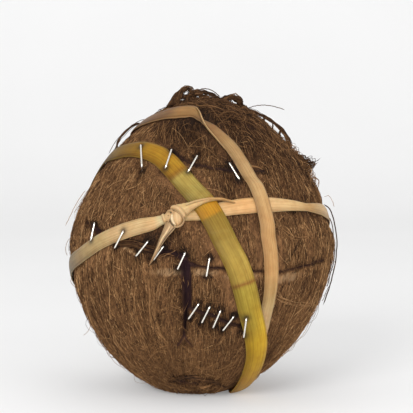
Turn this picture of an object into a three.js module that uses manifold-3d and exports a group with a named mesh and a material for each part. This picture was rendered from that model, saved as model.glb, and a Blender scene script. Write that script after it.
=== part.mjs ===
// A brown coconut, husked but for its coat of fibre, whose cracked shell is closed with wire staples
// and bound with three strips of leaf. One strip is tied in a knot at the front.
//
// Millimetres, +Z up, the front faces -Y. The origin is the middle of the flat spot that the nut rests on.
// A place on the nut is [longitude, latitude] in degrees, seen from the middle of its widest ring:
// longitude 0 is the front and grows towards +X, and latitude grows towards the top.
// A height is measured outwards from the nut's smooth surface.
import * as THREE from "three";
import { mergeVertices } from "three/addons/utils/BufferGeometryUtils.js";
import Module from "manifold-3d";

const wasm = await Module();
wasm.setup();

// ---------------------------------------------------------------- driving dimensions

const GAP = 0.3; // kept between pieces that touch

// The nut is an egg: its widest ring, and how far it reaches above and below that ring.
const NUT_RADIUS = 54.7;
const WIDEST_HEIGHT = 61;
const TOP_REACH = 63.5;
const BOTTOM_REACH = 64; // where the egg would end if it weren't flat there
const TOP_EXPONENT = 1.58; // 2 is an ellipse, and less is more pointed
const BOTTOM_EXPONENT = 1.87;
const LEAN = 0.03; // everything leans this far to +X for each unit of height
const NUT_SEGMENTS = [78, 28]; // round the nut, and from top to bottom
const FLOOR_BLOCK = [200, 40]; // cuts the nut off flat at Z 0: its sides, and its depth

// The shell has three faint lobes. The fibre coat stands in ridges that sway from top to bottom.
const LOBE_DEPTH = 0.5;
const LOBE_TURN = 40;
const RIDGES = [
  { count: 13, depth: 0.36, sway: 1.1, bends: 3.1 },
  { count: 23, depth: 0.36, sway: 1.7, bends: 4.3 },
  { count: 36, depth: 0.3, sway: 2.3, bends: 5.9 },
];

// Eyes: three soft pits round the top.
const CROWN_DIP = 2; // how far the coat sinks round the top
const CROWN_DIP_LATITUDES = [68, 82]; // where it starts to sink, and where it has sunk fully
const EYE_RADIUS = 4.2;
const EYE_DEPTH = 2.2;
const EYES = [
  [178, 80],
  [40, 83],
  [-40, 82],
];

// Cracks: a place, then the crack's width there. Each is cut to its own depth.
const CRACKS = [
  {
    depth: 2.4, // upper crack
    line: [
      [-25.8, 48.1, 0.5],
      [-16.3, 46.4, 1.3],
      [-8.8, 43, 1],
      [-3.4, 41, 1.2],
      [4.9, 39.5, 0.9],
      [18.2, 38.4, 1.1],
      [26.3, 38, 0.7],
      [36.5, 37.8, 0.4],
    ],
  },
  {
    depth: 3, // middle crack, open on the left and fine on the right
    line: [
      [-65, 12, 0.6],
      [-56, 10.8, 2],
      [-44, 6.5, 1.6],
      [-35.6, 4.9, 2.2],
      [-30.5, 4.9, 2.8],
      [-25, 4.2, 2.6],
      [-20, 2.7, 2],
      [-14.4, 1.9, 1.8],
      [-9.9, 1.4, 2],
      [-7, 0, 2.6],
      [-4.9, -2.6, 2],
      [0, -3.6, 0.9],
      [9.7, -4.5, 0.9],
      [21.7, -6.1, 0.8],
      [36.2, -7.1, 0.8],
      [46.6, -6.5, 1],
      [55, -5.5, 1],
      [67, -4.7, 0.4],
    ],
  },
  {
    depth: 5, // upright crack, gaping at the top
    line: [
      [-5.9, -2.6, 3.4],
      [-5.7, -5.9, 3.7],
      [-5.3, -12.5, 3.5],
      [-5.1, -17.7, 3.3],
      [-5.2, -20.8, 3.1],
      [-5.8, -22.6, 1.2],
      [-6.1, -26.7, 0.9],
      [-6.4, -30.4, 0.8],
      [-7, -35.4, 0.6],
    ],
  },
  {
    depth: 1.2, // its left fork
    line: [
      [-6.9, -34.4, 0.7],
      [-8.5, -37.4, 0.5],
      [-10.7, -39.5, 0.3],
    ],
  },
  {
    depth: 1.2, // its right fork
    line: [
      [-6.9, -34.4, 0.7],
      [-5.4, -37.4, 0.5],
      [-2.7, -40.2, 0.3],
    ],
  },
  {
    depth: 2.2, // lower crack
    line: [
      [-5.5, -21.7, 1],
      [-1.6, -21.8, 0.9],
      [1, -23.2, 1.1],
      [7.8, -25.1, 0.8],
      [9.5, -26.5, 1.1],
      [17.2, -29.6, 0.8],
      [22.4, -30.6, 0.8],
      [29, -33, 0.4],
    ],
  },
];
const CRACK_FLOOR_SHARE = 0.35; // of its width, at the bottom of a crack
const CRACK_OVERRUN = 3; // how far the cutter stands out of the nut

// Strips of leaf. Each closes on itself, lies over the strips that it names, and has a width that changes.
const STRIP_THICKNESS = 0.8;
const STRIP_FLOOR_GAP = 0.4; // between the underside and a strip that passes under the nut
const STRIP_STATIONS = 96;
const STRIP_SAMPLES = 480; // for the distance to a strip
const OVERLAP_MARGIN = 5; // a strip is fully raised this far beyond the edge of the one below
const OVERLAP_RAMP = 5; // and comes down over this length
const PRESSED_MARGIN = 1.5; // the fibre coat lies flat under a strip and this far beside it
const PRESSED_RAMP = 4; // and rises to its full height over this length

const TIE_PATH = [
  [-77, -8],
  [-60.5, -2],
  [-52, 2],
  [-46, 5],
  [-35.5, 9.3],
  [-26.5, 12.2],
  [-21, 13.5],
  [-16.5, 15.3],
  [-11.5, 16.8],
  [-6, 17.7],
  [1.5, 18.2],
  [10, 20],
  [21.5, 21.2],
  [34.5, 21.2],
  [46.5, 20.3],
  [56, 19],
  [76, 16],
  [98, 9.5],
  [121, -3.6],
  [147, -14.4],
  [177, -22.3],
  [-151, -25.5],
  [-118.5, -22.5],
  [-97, -17],
];
const TAN_PATH = [
  [-60, 66.6],
  [-42, 69.2],
  [-20.5, 69.8],
  [-11, 68.7],
  [-4, 66],
  [1.5, 62.8],
  [6.6, 59.8],
  [11.6, 55.9],
  [15.9, 52],
  [19.2, 47.6],
  [21.7, 42.5],
  [24, 36.5],
  [27.3, 25],
  [28.6, 9.7],
  [29.6, 0],
  [30.8, -10],
  [31.2, -17.5],
  [31, -25.5],
  [32, -36.5],
  [35, -46.5],
  [38.5, -54.5],
  [45.5, -62],
  [58, -66],
  [75, -66.8],
  [95, -66],
  [115, -64.5],
  [142, -59],
  [170, -47],
  [-171.5, -30],
  [-160, -10],
  [-153, 15],
  [-147, 38],
  [-128, 50],
  [-108, 57],
  [-84, 62.5],
];
const GREEN_PATH = [
  [-87.5, 41.5],
  [-66.5, 46],
  [-44, 48],
  [-26, 44.5],
  [-14, 37],
  [-7.5, 31],
  [-1.6, 25],
  [2.3, 20.2],
  [5.3, 15.2],
  [8.5, 9],
  [11.7, 3],
  [15.2, -4],
  [19, -13.5],
  [22.7, -23],
  [27, -31.5],
  [31, -39],
  [34.5, -46],
  [38.5, -54],
  [45.5, -63.5],
  [57, -70.5],
  [85, -72.5],
  [121, -70.5],
  [160, -63.5],
  [-170, -53.5],
  [-150, -36.5],
  [-136, -17],
  [-122, 3.5],
  [-102, 26],
];

// Widths: [share of the path's length, width].
const TIE_WIDTHS = [
  [0, 6.2],
  [0.12, 6.4],
  [0.15, 6.2],
  [0.165, 5.4],
  [0.177, 3.9],
  [0.191, 3.6],
  [0.206, 5],
  [0.25, 5.8],
  [0.28, 6.4],
  [0.312, 5.9],
  [0.344, 4.5],
  [0.369, 3.3],
  [0.395, 4.6],
  [0.42, 5.7],
  [0.75, 5.8],
  [1, 6.2],
];
const TAN_WIDTHS = [
  [0, 6.6],
  [0.02, 7.6],
  [0.042, 9],
  [0.05, 7.2],
  [0.0575, 5],
  [0.0645, 3.4],
  [0.076, 3.9],
  [0.09, 4.8],
  [0.106, 5.4],
  [0.122, 5.8],
  [0.16, 6],
  [0.22, 6.5],
  [0.28, 6.2],
  [0.3, 5.6],
  [0.32, 6.3],
  [0.4, 6],
  [0.44, 4.2],
  [0.5, 4.2],
  [0.6, 6.2],
  [1, 6.6],
];
const GREEN_WIDTHS = [
  [0, 6.8],
  [0.045, 7.2],
  [0.09, 7.6],
  [0.125, 8],
  [0.18, 8.4],
  [0.24, 9],
  [0.3, 9.2],
  [0.42, 9],
  [0.48, 8.8],
  [0.56, 8],
  [1, 6.8],
];

// The knot of the tie strip: two lobes wound with leaf, a strand over the green strip, and a tail.
const KNOT_LOBES = [
  { place: [-10.1, 16.1], size: [5.4, 7.6, 4.4], tilt: -8, height: 1.6 }, // across, up, and outwards
  { place: [-14, 16.5], size: [3.4, 4.6, 3.4], tilt: 20, height: 1.4 },
];
const KNOT_WRAPS = [
  {
    radius: 0.7, // over the top and down the right
    line: [
      [-12.9, 19.8, 2.4],
      [-10.6, 18.8, 3.8],
      [-8.3, 17.3, 4.2],
      [-7.4, 15.5, 3.6],
      [-8.1, 13.6, 3],
      [-9.9, 12.4, 1.8],
    ],
  },
  {
    radius: 0.5, // round the left of the large lobe
    line: [
      [-10.4, 18.7, 3.4],
      [-11.7, 17.5, 3.4],
      [-12.1, 15.5, 3.2],
      [-11.3, 13.7, 2.8],
      [-9.9, 12.6, 1.8],
    ],
  },
  {
    radius: 0.5, // over the small lobe
    line: [
      [-15, 14.2, 1.2],
      [-14.7, 16, 2.4],
      [-13.8, 17.8, 3],
      [-12.3, 18.9, 2.6],
    ],
  },
  {
    radius: 0.75, // across the top
    line: [
      [-13.3, 19.5, 1.2],
      [-12.5, 20.4, 2.6],
      [-10.5, 21.1, 3.2],
      [-8.7, 21.4, 3],
      [-7.2, 20.6, 2],
    ],
  },
];
const STRAND = [
  [-11.4, 19.9, 2.2, 3],
  [-7.5, 19.7, 2.4, 4],
  [-4.2, 21, 2.8, 2.9],
  [-0.4, 22, 3.1, 2.1],
  [3.8, 23, 3.1, 1.5],
  [8.2, 23.5, 2.6, 1.3],
  [11.9, 23.2, 1.9, 1.2],
  [14.7, 22.5, 1.4, 0.7],
];
const TAIL = [
  [-12.4, 14.6, 1.8, 3.6],
  [-13.3, 11.7, 2, 2.9],
  [-14.8, 8.4, 2.1, 2.2],
  [-16.3, 5.1, 2, 1.7],
  [-18, 1.3, 1.7, 1.2],
  [-20.6, -3.2, 1.3, 0.7],
];
const LOBE_SEGMENTS = [12, 8];
const LOOSE_LEAF_THICKNESS = 0.7;

// Staples: the two ends of the crown.
const WIRE_RADIUS = 0.36;
const LEG_DEPTH = 3.6;
const STAPLE_BEND = 0.8; // how far from its corner the wire starts to bend
const STAPLE_ROUNDING = 0.3; // share of that length by which the bend cuts the corner
const WIRE_SIDES = 6;
const CROWN_CHECKS = 12; // places along the crown where it must clear what is under it
const STAPLES = [
  [-43.5, 49.3, -34.3, 38.8],
  [-19.4, 47.4, -19.8, 38.4],
  [-3.3, 44.4, -7.3, 36.7],
  [14.4, 41.4, 18.5, 33.4],
  [-51.4, 12.1, -51.1, 5.1],
  [-33.4, 9.6, -36.4, 2.8],
  [-21.3, 5.9, -25.8, 0.2],
  [-15, 4.3, -19, -1.3],
  [-6, 2, -8.9, -4.6],
  [3.6, -0.1, 2.6, -7.4],
  [-0.2, -18.9, -4.5, -25.5],
  [4.5, -20.2, 1.4, -27.3],
  [9.2, -22, 6.6, -29.6],
  [15.4, -24.8, 11.3, -31],
  [20.5, -25, 21.2, -33.3],
];

// Coarse strands of husk that stand off the nut: [longitude, latitude, height], with a thickness.
const LOCKS = [
  {
    radius: 0.9, // loop at the top left
    line: [
      [-90, 74.2, -1.6],
      [-90, 76.3, 0.6],
      [-90, 79, 2.1],
      [-90, 81.4, 3.3],
      [-90, 83.2, 3.8],
      [-88, 84.6, 2.5],
      [-82, 84.3, 0.6],
      [-72, 82.5, -1.4],
      [-66, 81, -3.2],
    ],
  },
  {
    radius: 0.6, // bridge across the top
    line: [
      [-86, 83.4, 0.2],
      [-90, 85.4, 1.1],
      [-90, 87.2, 1],
      [-90, 89.3, 0.3],
      [90, 88, -0.4],
      [90, 86.2, -1],
      [90, 84.6, -1.7],
      [88, 83, -3],
    ],
  },
  {
    radius: 1.1, // curl at the top right
    line: [
      [47, 81.8, -3.2],
      [50, 81.2, -1],
      [54, 80.6, 0.3],
      [64, 79.5, 1.4],
      [72.6, 77.9, 2],
      [79, 76.3, 1.5],
      [82.5, 75.5, 0.1],
      [78, 76, -1.6],
      [70, 76.6, -3.2],
    ],
  },
  {
    radius: 0.9, // rope down the right shoulder
    line: [
      [90, 77.5, -2.6],
      [90, 74.6, -0.8],
      [90, 70.5, 0.6],
      [90, 67, 1.4],
      [90, 63.2, 2.1],
      [90, 59.3, 2.7],
      [90, 55.8, 2.7],
      [90, 52.3, 2.1],
      [90, 49.2, 0.9],
      [90, 46.5, -1.2],
    ],
  },
  {
    radius: 0.55, // arc over the left shoulder
    line: [
      [-88, 63, -1.2],
      [-88, 61, 1.6],
      [-88, 56, 2.5],
      [-88, 51, 2.1],
      [-88, 48, 0.6],
      [-88, 46.5, -1.2],
    ],
  },
  {
    radius: 0.85, // frayed end on the right
    line: [
      [90, 48.5, -1.4],
      [88, 44.3, 0.4],
      [88, 40.3, 1.7],
      [88, 37, 3.1],
      [88, 34.8, 4.1],
    ],
  },
  {
    radius: 0.7, // a second frayed end below it
    line: [
      [84, 46, -1.4],
      [84, 41.8, 0.5],
      [85, 37.7, 1],
      [86, 35.2, 1.7],
    ],
  },
  {
    radius: 0.8, // lip of husk left under the front
    line: [
      [-30.5, -66.2, -0.9],
      [-14, -59.5, 0.2],
      [-4.8, -57.5, 0.4],
      [4.6, -58.5, 0.4],
      [15, -62, 0.2],
      [30, -68.5, -0.9],
    ],
  },
];
const CORD_SIDES = 5;
const CORD_STEPS = 8;

// The tuft round the eyes: short strands drawn by a seeded rule, each arching out of the coat and back in.
const TUFT_SEED = 7;
const TUFT_COUNT = 30;
const TUFT_COLATITUDE = [6, 20]; // degrees from the top, where the strands are rooted
const TUFT_LENGTH = [7, 14];
const TUFT_RISE = [-0.9, 0.5];
const TUFT_RADIUS = [0.55, 0.95];
const TUFT_SIDES = 3;
const TUFT_STEPS = 4;
const ROOT_DEPTH = 3.2;

// ---------------------------------------------------------------- the nut's surface

const CENTRE = new THREE.Vector3(0, 0, WIDEST_HEIGHT);
const FRONT = new THREE.Vector3(0, -1, 0);
const { degToRad, smoothstep, lerp } = THREE.MathUtils;

function direction(longitude, latitude) {
  const lon = degToRad(longitude);
  const lat = degToRad(latitude);
  return new THREE.Vector3(
    Math.cos(lat) * Math.sin(lon),
    -Math.cos(lat) * Math.cos(lon),
    Math.sin(lat),
  );
}

// How far the smooth egg reaches from its centre along a direction.
function reach(dir) {
  const [end, exponent] = dir.z > 0 ? [TOP_REACH, TOP_EXPONENT] : [BOTTOM_REACH, BOTTOM_EXPONENT];
  const across = Math.hypot(dir.x, dir.y) / NUT_RADIUS;
  const along = Math.abs(dir.z) / end;
  return (across ** exponent + along ** exponent) ** (-1 / exponent);
}

// The point at a height over the smooth egg, held above the floor.
function over(dir, height, lowest = -Infinity) {
  let distance = reach(dir) + height;
  if (dir.z < 0)
    distance = Math.min(distance, (WIDEST_HEIGHT - lowest) / -dir.z);
  return dir.clone().multiplyScalar(distance).add(CENTRE);
}

// The coat's height: lobes and swaying ridges, which die away towards both ends.
function coatHeight(dir) {
  const lon = Math.atan2(dir.x, -dir.y);
  const lat = Math.asin(dir.z);
  const waist = Math.cos(lat);
  let height = LOBE_DEPTH * Math.cos(3 * lon + degToRad(LOBE_TURN)) * waist ** 2;
  for (const { count, depth, sway, bends } of RIDGES)
    height +=
      depth * Math.sin(count * lon + sway * Math.sin(bends * lat + count)) * waist;
  return height - CROWN_DIP * smoothstep(lat, ...CROWN_DIP_LATITUDES.map(degToRad));
}

// ---------------------------------------------------------------- solids

function solidOf(geometry) {
  const bare = geometry.clone();
  for (const name of Object.keys(bare.attributes))
    if (name !== "position") bare.deleteAttribute(name);
  const merged = mergeVertices(bare, 1e-4);
  return new wasm.Manifold(
    new wasm.Mesh({
      numProp: 3,
      vertProperties: new Float32Array(merged.attributes.position.array),
      triVerts: new Uint32Array(merged.index.array),
    }),
  );
}

// A solid's largest body, as a geometry: scraps that a cut leaves loose are dropped.
function geometryOf(solid) {
  const [body] = solid.decompose().sort((a, b) => b.volume() - a.volume());
  const { vertProperties, triVerts, numProp } = body.getMesh();
  const count = vertProperties.length / numProp;
  const positions = new Float32Array(count * 3);
  for (let i = 0; i < count; i++)
    positions.set(vertProperties.subarray(i * numProp, i * numProp + 3), i * 3);
  return new THREE.BufferGeometry()
    .setAttribute("position", new THREE.BufferAttribute(positions, 3))
    .setIndex(new THREE.BufferAttribute(triVerts, 1));
}

// A closed skin through rings of points that turn the same way. An open run of rings gets flat ends.
function loft(rings, closed) {
  const size = rings[0].length;
  const points = rings.flat();
  const faces = [];
  const quad = (a, b, c, d) => faces.push(a, b, c, a, c, d);
  const last = closed ? rings.length : rings.length - 1;
  for (let i = 0; i < last; i++) {
    const here = i * size;
    const next = ((i + 1) % rings.length) * size;
    for (let k = 0; k < size; k++) {
      const l = (k + 1) % size;
      quad(here + k, here + l, next + l, next + k);
    }
  }
  if (!closed) {
    const end = (rings.length - 1) * size;
    for (let k = 1; k < size - 1; k++) {
      faces.push(0, k + 1, k);
      faces.push(end, end + k, end + k + 1);
    }
  }
  const solid = solidOf(
    new THREE.BufferGeometry().setFromPoints(points).setIndex(faces),
  );
  if (solid.volume() > 0) return solid;
  for (let i = 0; i < faces.length; i += 3)
    [faces[i + 1], faces[i + 2]] = [faces[i + 2], faces[i + 1]];
  return solidOf(
    new THREE.BufferGeometry().setFromPoints(points).setIndex(faces),
  );
}

// A path from point to point, of which an extrusion takes one step to each.
class PointPath extends THREE.Curve {
  constructor(points) {
    super();
    this.points = points;
  }

  getPoint(share) {
    const last = this.points.length - 1;
    const low = Math.min(Math.floor(share * last), last - 1);
    return this.points[low].clone().lerp(this.points[low + 1], share * last - low);
  }

  getPointAt(share) {
    return this.getPoint(share);
  }

  getTangentAt(share) {
    return this.getTangent(share);
  }
}

function rod(points, radius, sides) {
  const corners = Array.from({ length: sides }, (_, k) => {
    const turn = (2 * Math.PI * k) / sides;
    return new THREE.Vector2(radius * Math.cos(turn), radius * Math.sin(turn));
  });
  const section = new THREE.Shape(corners);
  const extrudePath = new PointPath(points);
  const steps = points.length - 1;
  return solidOf(new THREE.ExtrudeGeometry(section, { steps, extrudePath }));
}

// A cord through [longitude, latitude, height] points.
function cordSolid({ radius, line }, grow = 0) {
  const curve = new THREE.CatmullRomCurve3(
    line.map(([lon, lat, height]) => over(direction(lon, lat), height)),
  );
  return rod(curve.getPoints(CORD_STEPS), radius + grow, CORD_SIDES);
}

// ---------------------------------------------------------------- strips

function interpolate(table, x) {
  const at = table.findIndex(([start]) => start >= x);
  if (at <= 0) return table[Math.max(at, 0)][1];
  const [x0, y0] = table[at - 1];
  const [x1, y1] = table[at];
  return lerp(y0, y1, (x - x0) / (x1 - x0));
}

function makeStrip(path, widths, lower) {
  const curve = new THREE.CatmullRomCurve3(
    path.map(([lon, lat]) => direction(lon, lat).multiplyScalar(NUT_RADIUS)),
    true,
    "centripetal",
  );
  const samples = Array.from({ length: STRIP_SAMPLES }, (_, i) => {
    const share = i / STRIP_SAMPLES;
    return { dir: curve.getPointAt(share).normalize(), width: interpolate(widths, share) };
  });
  return { curve, widths, lower, samples };
}

// How far outside a strip's edge a direction is, along the nut. Inside the strip it is negative.
function outside(strip, dir) {
  let nearest = null;
  let closeness = -1;
  for (const sample of strip.samples) {
    const dot = sample.dir.dot(dir);
    if (dot > closeness) [closeness, nearest] = [dot, sample];
  }
  return Math.acos(Math.min(closeness, 1)) * NUT_RADIUS - nearest.width / 2;
}

// How far a strip is raised over the strips that it crosses.
function raise(strip, dir) {
  const layers = strip.lower.map((other) => {
    const distance = outside(other, dir);
    const cover = 1 - smoothstep(distance, OVERLAP_MARGIN, OVERLAP_MARGIN + OVERLAP_RAMP);
    return cover * (STRIP_THICKNESS + GAP);
  });
  return Math.max(0, ...layers);
}

// The closed band of a strip. A grown one is the room that other pieces leave for it.
function stripSolid(strip, grow = 0) {
  const rings = [];
  for (let i = 0; i < STRIP_STATIONS; i++) {
    const share = i / STRIP_STATIONS;
    const dir = strip.curve.getPointAt(share).normalize();
    const side = strip.curve.getTangentAt(share).cross(dir).normalize();
    const half = interpolate(strip.widths, share) / 2 + grow;
    const distance = reach(dir);
    const [left, right] = [-half, half].map((shift) =>
      dir.clone().multiplyScalar(distance).addScaledVector(side, shift).normalize(),
    );
    const inner = (at) =>
      over(at, GAP + raise(strip, at) - grow, STRIP_FLOOR_GAP + STRIP_THICKNESS + grow);
    const outer = (at) =>
      over(at, GAP + raise(strip, at) + STRIP_THICKNESS + grow, STRIP_FLOOR_GAP - grow);
    rings.push([inner(left), outer(left), outer(right), inner(right)]);
  }
  return loft(rings, true);
}

const tie = makeStrip(TIE_PATH, TIE_WIDTHS, []);
const tan = makeStrip(TAN_PATH, TAN_WIDTHS, [tie]);
const green = makeStrip(GREEN_PATH, GREEN_WIDTHS, [tie, tan]);
const strips = [tie, tan, green];

// The highest thing under a direction: a strip's top, or else the coat.
function coverHeight(dir) {
  const covered = strips.filter((strip) => outside(strip, dir) < 1);
  const tops = covered.map((strip) => GAP + raise(strip, dir) + STRIP_THICKNESS);
  return Math.max(coatHeight(dir), ...tops);
}

// ---------------------------------------------------------------- the knot

// A blade of leaf through [longitude, latitude, height, width] points, for the strand and the tail.
function blade(points, grow = 0) {
  const line = new THREE.CatmullRomCurve3(
    points.map(([lon, lat, height]) => over(direction(lon, lat), height)),
  );
  const steps = 2 * (points.length - 1);
  const rings = [];
  for (let i = 0; i <= steps; i++) {
    const t = i / steps;
    const at = t * (points.length - 1);
    const low = Math.min(Math.floor(at), points.length - 2);
    const half = lerp(points[low][3], points[low + 1][3], at - low) / 2 + grow;
    const middle = line.getPoint(t);
    const out = middle.clone().sub(CENTRE).normalize();
    const side = line.getTangent(t).cross(out).normalize();
    const thick = LOOSE_LEAF_THICKNESS / 2 + grow;
    const corner = (u, v) =>
      middle.clone().addScaledVector(side, u * half).addScaledVector(out, v * thick);
    rings.push([corner(-1, -0.6), corner(-1, 0.2), corner(0, 1), corner(1, 0.2), corner(1, -0.6)]);
  }
  return loft(rings, false);
}

// Turns a shape made at the origin, with +Z outwards and +Y up the nut, to stand at a lobe's place.
function lobeMatrix({ place, tilt, height }) {
  const out = direction(...place);
  const across = new THREE.Vector3(0, 0, 1).cross(out).normalize();
  const up = out.clone().cross(across);
  return new THREE.Matrix4()
    .makeBasis(across, up, out)
    .setPosition(over(out, height))
    .multiply(new THREE.Matrix4().makeRotationZ(degToRad(-tilt)));
}

function lobeSolid(lobe, grow) {
  const half = lobe.size.map((size) => size / 2 + grow);
  return solidOf(
    new THREE.SphereGeometry(1, ...LOBE_SEGMENTS).scale(...half).applyMatrix4(lobeMatrix(lobe)),
  );
}

function knotSolid(grow = 0) {
  return wasm.Manifold.union([
    ...KNOT_LOBES.map((lobe) => lobeSolid(lobe, grow)),
    ...KNOT_WRAPS.map((wrap) => cordSolid(wrap, grow)),
    blade(STRAND, grow),
    blade(TAIL, grow),
  ]);
}

// ---------------------------------------------------------------- staples

// The crown's ends, the way along it, the way that both legs point out of the nut, and how long the legs are. The
// legs stand square to the crown and, as nearly as that lets them, face the front.
function stapleFrame([lonA, latA, lonB, latB]) {
  const feet = [direction(lonA, latA), direction(lonB, latB)];
  let height = 0;
  for (let i = 0; i <= CROWN_CHECKS; i++) {
    const dir = feet[0].clone().lerp(feet[1], i / CROWN_CHECKS);
    const straight = dir.length(); // the crown is a chord, so it dips towards the nut
    dir.normalize();
    height = Math.max(height, coverHeight(dir) + reach(dir) * (1 - straight));
  }
  height += GAP + WIRE_RADIUS;
  const ends = feet.map((dir) => over(dir, height));
  const along = ends[1].clone().sub(ends[0]).normalize();
  const out = FRONT.clone().projectOnPlane(along).normalize();
  const steepest = Math.min(...feet.map((dir) => dir.dot(out)));
  return { ends, along, out, leg: height / steepest + LEG_DEPTH };
}

function stapleSolid(staple) {
  const { ends, along, out, leg } = stapleFrame(staple);
  const cut = STAPLE_BEND * STAPLE_ROUNDING;
  const corner = (end, inwards) => [
    end.clone().addScaledVector(out, -leg),
    end.clone().addScaledVector(out, -STAPLE_BEND),
    end.clone().addScaledVector(out, -cut).addScaledVector(inwards, cut),
    end.clone().addScaledVector(inwards, STAPLE_BEND),
  ];
  const back = along.clone().negate();
  const points = [...corner(ends[0], along), ...corner(ends[1], back).reverse()];
  return rod(points, WIRE_RADIUS, WIRE_SIDES);
}

// The holes for a staple's two legs.
function legHoles(staple) {
  const { ends, out, leg } = stapleFrame(staple);
  const holes = ends.map((end) => {
    const line = [end.clone().addScaledVector(out, -leg - GAP), end.clone().addScaledVector(out, GAP)];
    return rod(line, WIRE_RADIUS + GAP, WIRE_SIDES);
  });
  return wasm.Manifold.union(holes);
}

// ---------------------------------------------------------------- the coconut

function nutBody() {
  const geometry = new THREE.SphereGeometry(1, ...NUT_SEGMENTS).rotateX(Math.PI / 2);
  const position = geometry.getAttribute("position");
  const dir = new THREE.Vector3();
  for (let i = 0; i < position.count; i++) {
    dir.fromBufferAttribute(position, i).normalize();
    const nearest = Math.min(...strips.map((strip) => outside(strip, dir)));
    const free = smoothstep(nearest, PRESSED_MARGIN, PRESSED_MARGIN + PRESSED_RAMP);
    const height = lerp(Math.min(coatHeight(dir), -0.15), coatHeight(dir), free);
    position.setXYZ(i, ...over(dir, height));
  }
  return solidOf(geometry);
}

function crackSolid({ depth, line }) {
  const rings = line.map(([lon, lat, width], i) => {
    const dir = direction(lon, lat);
    const [before, after] = [i - 1, i + 1].map((k) => {
      const [nearLon, nearLat] = line[THREE.MathUtils.clamp(k, 0, line.length - 1)];
      return direction(nearLon, nearLat);
    });
    const side = after.sub(before).cross(dir).normalize();
    const corner = (shift, height) => over(dir, height).addScaledVector(side, shift * width);
    const floor = CRACK_FLOOR_SHARE / 2;
    return [
      corner(-0.5, -depth * 0.1),
      corner(-0.65, CRACK_OVERRUN),
      corner(0.65, CRACK_OVERRUN),
      corner(0.5, -depth * 0.1),
      corner(floor, -depth),
      corner(-floor, -depth),
    ];
  });
  return loft(rings, false);
}

function eyeSolid([lon, lat]) {
  const dir = direction(lon, lat);
  const middle = over(dir, coatHeight(dir) + EYE_RADIUS - EYE_DEPTH);
  return solidOf(new THREE.SphereGeometry(EYE_RADIUS, 10, 6).translate(...middle));
}

// Numbers from 0 to 1 that are the same on every run.
function seeded(seed) {
  let state = seed;
  return () => {
    state = (state * 1664525 + 1013904223) % 4294967296;
    return state / 4294967296;
  };
}

function tuftSolids() {
  const random = seeded(TUFT_SEED);
  const pick = ([low, high]) => lerp(low, high, random());
  const top = direction(0, 90);
  const solids = [];
  for (let i = 0; i < TUFT_COUNT; i++) {
    const lon = (360 * (i + random())) / TUFT_COUNT;
    const root = direction(lon, 90 - pick(TUFT_COLATITUDE));
    const away = root.clone().sub(top).cross(root).cross(root).negate().normalize();
    away.applyAxisAngle(root, degToRad(lerp(-75, 75, random())));
    const length = pick(TUFT_LENGTH);
    const rise = pick(TUFT_RISE);
    const radius = pick(TUFT_RADIUS);
    const bend = lerp(-4, 4, random());
    const side = away.clone().cross(root);
    const points = [];
    let clear = true;
    for (let k = 0; k <= TUFT_STEPS; k++) {
      const t = k / TUFT_STEPS;
      const dir = root
        .clone()
        .multiplyScalar(NUT_RADIUS)
        .addScaledVector(away, length * t)
        .addScaledVector(side, bend * Math.sin(Math.PI * t))
        .normalize();
      clear &&= strips.every((strip) => outside(strip, dir) > 1.2);
      points.push(over(dir, lerp(-ROOT_DEPTH, rise, Math.sin(Math.PI * t))));
    }
    if (clear) solids.push(rod(points, radius, TUFT_SIDES));
  }
  return solids;
}

function coconutSolid() {
  const { union } = wasm.Manifold;
  const [side, deep] = FLOOR_BLOCK;
  const floor = new THREE.BoxGeometry(side, side, deep).translate(0, 0, -deep / 2);
  const room = [
    ...strips.map((strip) => stripSolid(strip, GAP)),
    knotSolid(GAP),
    ...STAPLES.map(legHoles),
  ];
  return nutBody()
    .subtract(union([...CRACKS.map(crackSolid), ...EYES.map(eyeSolid)]))
    .add(union([...LOCKS.map((lock) => cordSolid(lock)), ...tuftSolids()]))
    .subtract(solidOf(floor))
    .subtract(union(room));
}

// ---------------------------------------------------------------- the model

const MATERIALS = {
  husk: new THREE.MeshStandardMaterial({ color: 0x6b4a30, roughness: 0.95, metalness: 0 }),
  paleLeaf: new THREE.MeshStandardMaterial({ color: 0xd9b47c, roughness: 0.6, metalness: 0 }),
  tanLeaf: new THREE.MeshStandardMaterial({ color: 0xc39a68, roughness: 0.6, metalness: 0 }),
  greenLeaf: new THREE.MeshStandardMaterial({ color: 0xb3a247, roughness: 0.55, metalness: 0 }),
  wire: new THREE.MeshStandardMaterial({ color: 0xd8d6cf, roughness: 0.25, metalness: 1 }),
};

const coconut = new THREE.Group();

const lean = new THREE.Matrix4().makeShear(0, 0, 0, 0, LEAN, 0);

function piece(name, solid, material) {
  const mesh = new THREE.Mesh(geometryOf(solid).applyMatrix4(lean), material);
  mesh.name = name;
  coconut.add(mesh);
}

// A strip lets the legs of the staples through.
const legRoom = wasm.Manifold.union(STAPLES.map(legHoles));

piece("coconut", coconutSolid(), MATERIALS.husk);
piece("tie_strip", stripSolid(tie).add(knotSolid()).subtract(legRoom), MATERIALS.paleLeaf);
piece("tan_strip", stripSolid(tan).subtract(legRoom), MATERIALS.tanLeaf);
piece("green_strip", stripSolid(green).subtract(legRoom), MATERIALS.greenLeaf);
STAPLES.forEach((staple, i) => {
  const number = String(i + 1).padStart(2, "0");
  piece(`staple_${number}`, stapleSolid(staple), MATERIALS.wire);
});

export default coconut;
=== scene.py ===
"""A brown coconut in its fibre coat, closed with wire staples and bound with three strips of leaf.

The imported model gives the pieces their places. This script gives them their surfaces: the matted coat of
fibre, the leaves, the knot and the wire. Lengths are millimetres until a mesh is made, which is in metres.
A place on the nut is (longitude, latitude) in degrees: longitude 0 is the front, and grows towards +X.
A height is measured outwards from the nut's smooth egg.
"""

import math

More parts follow.
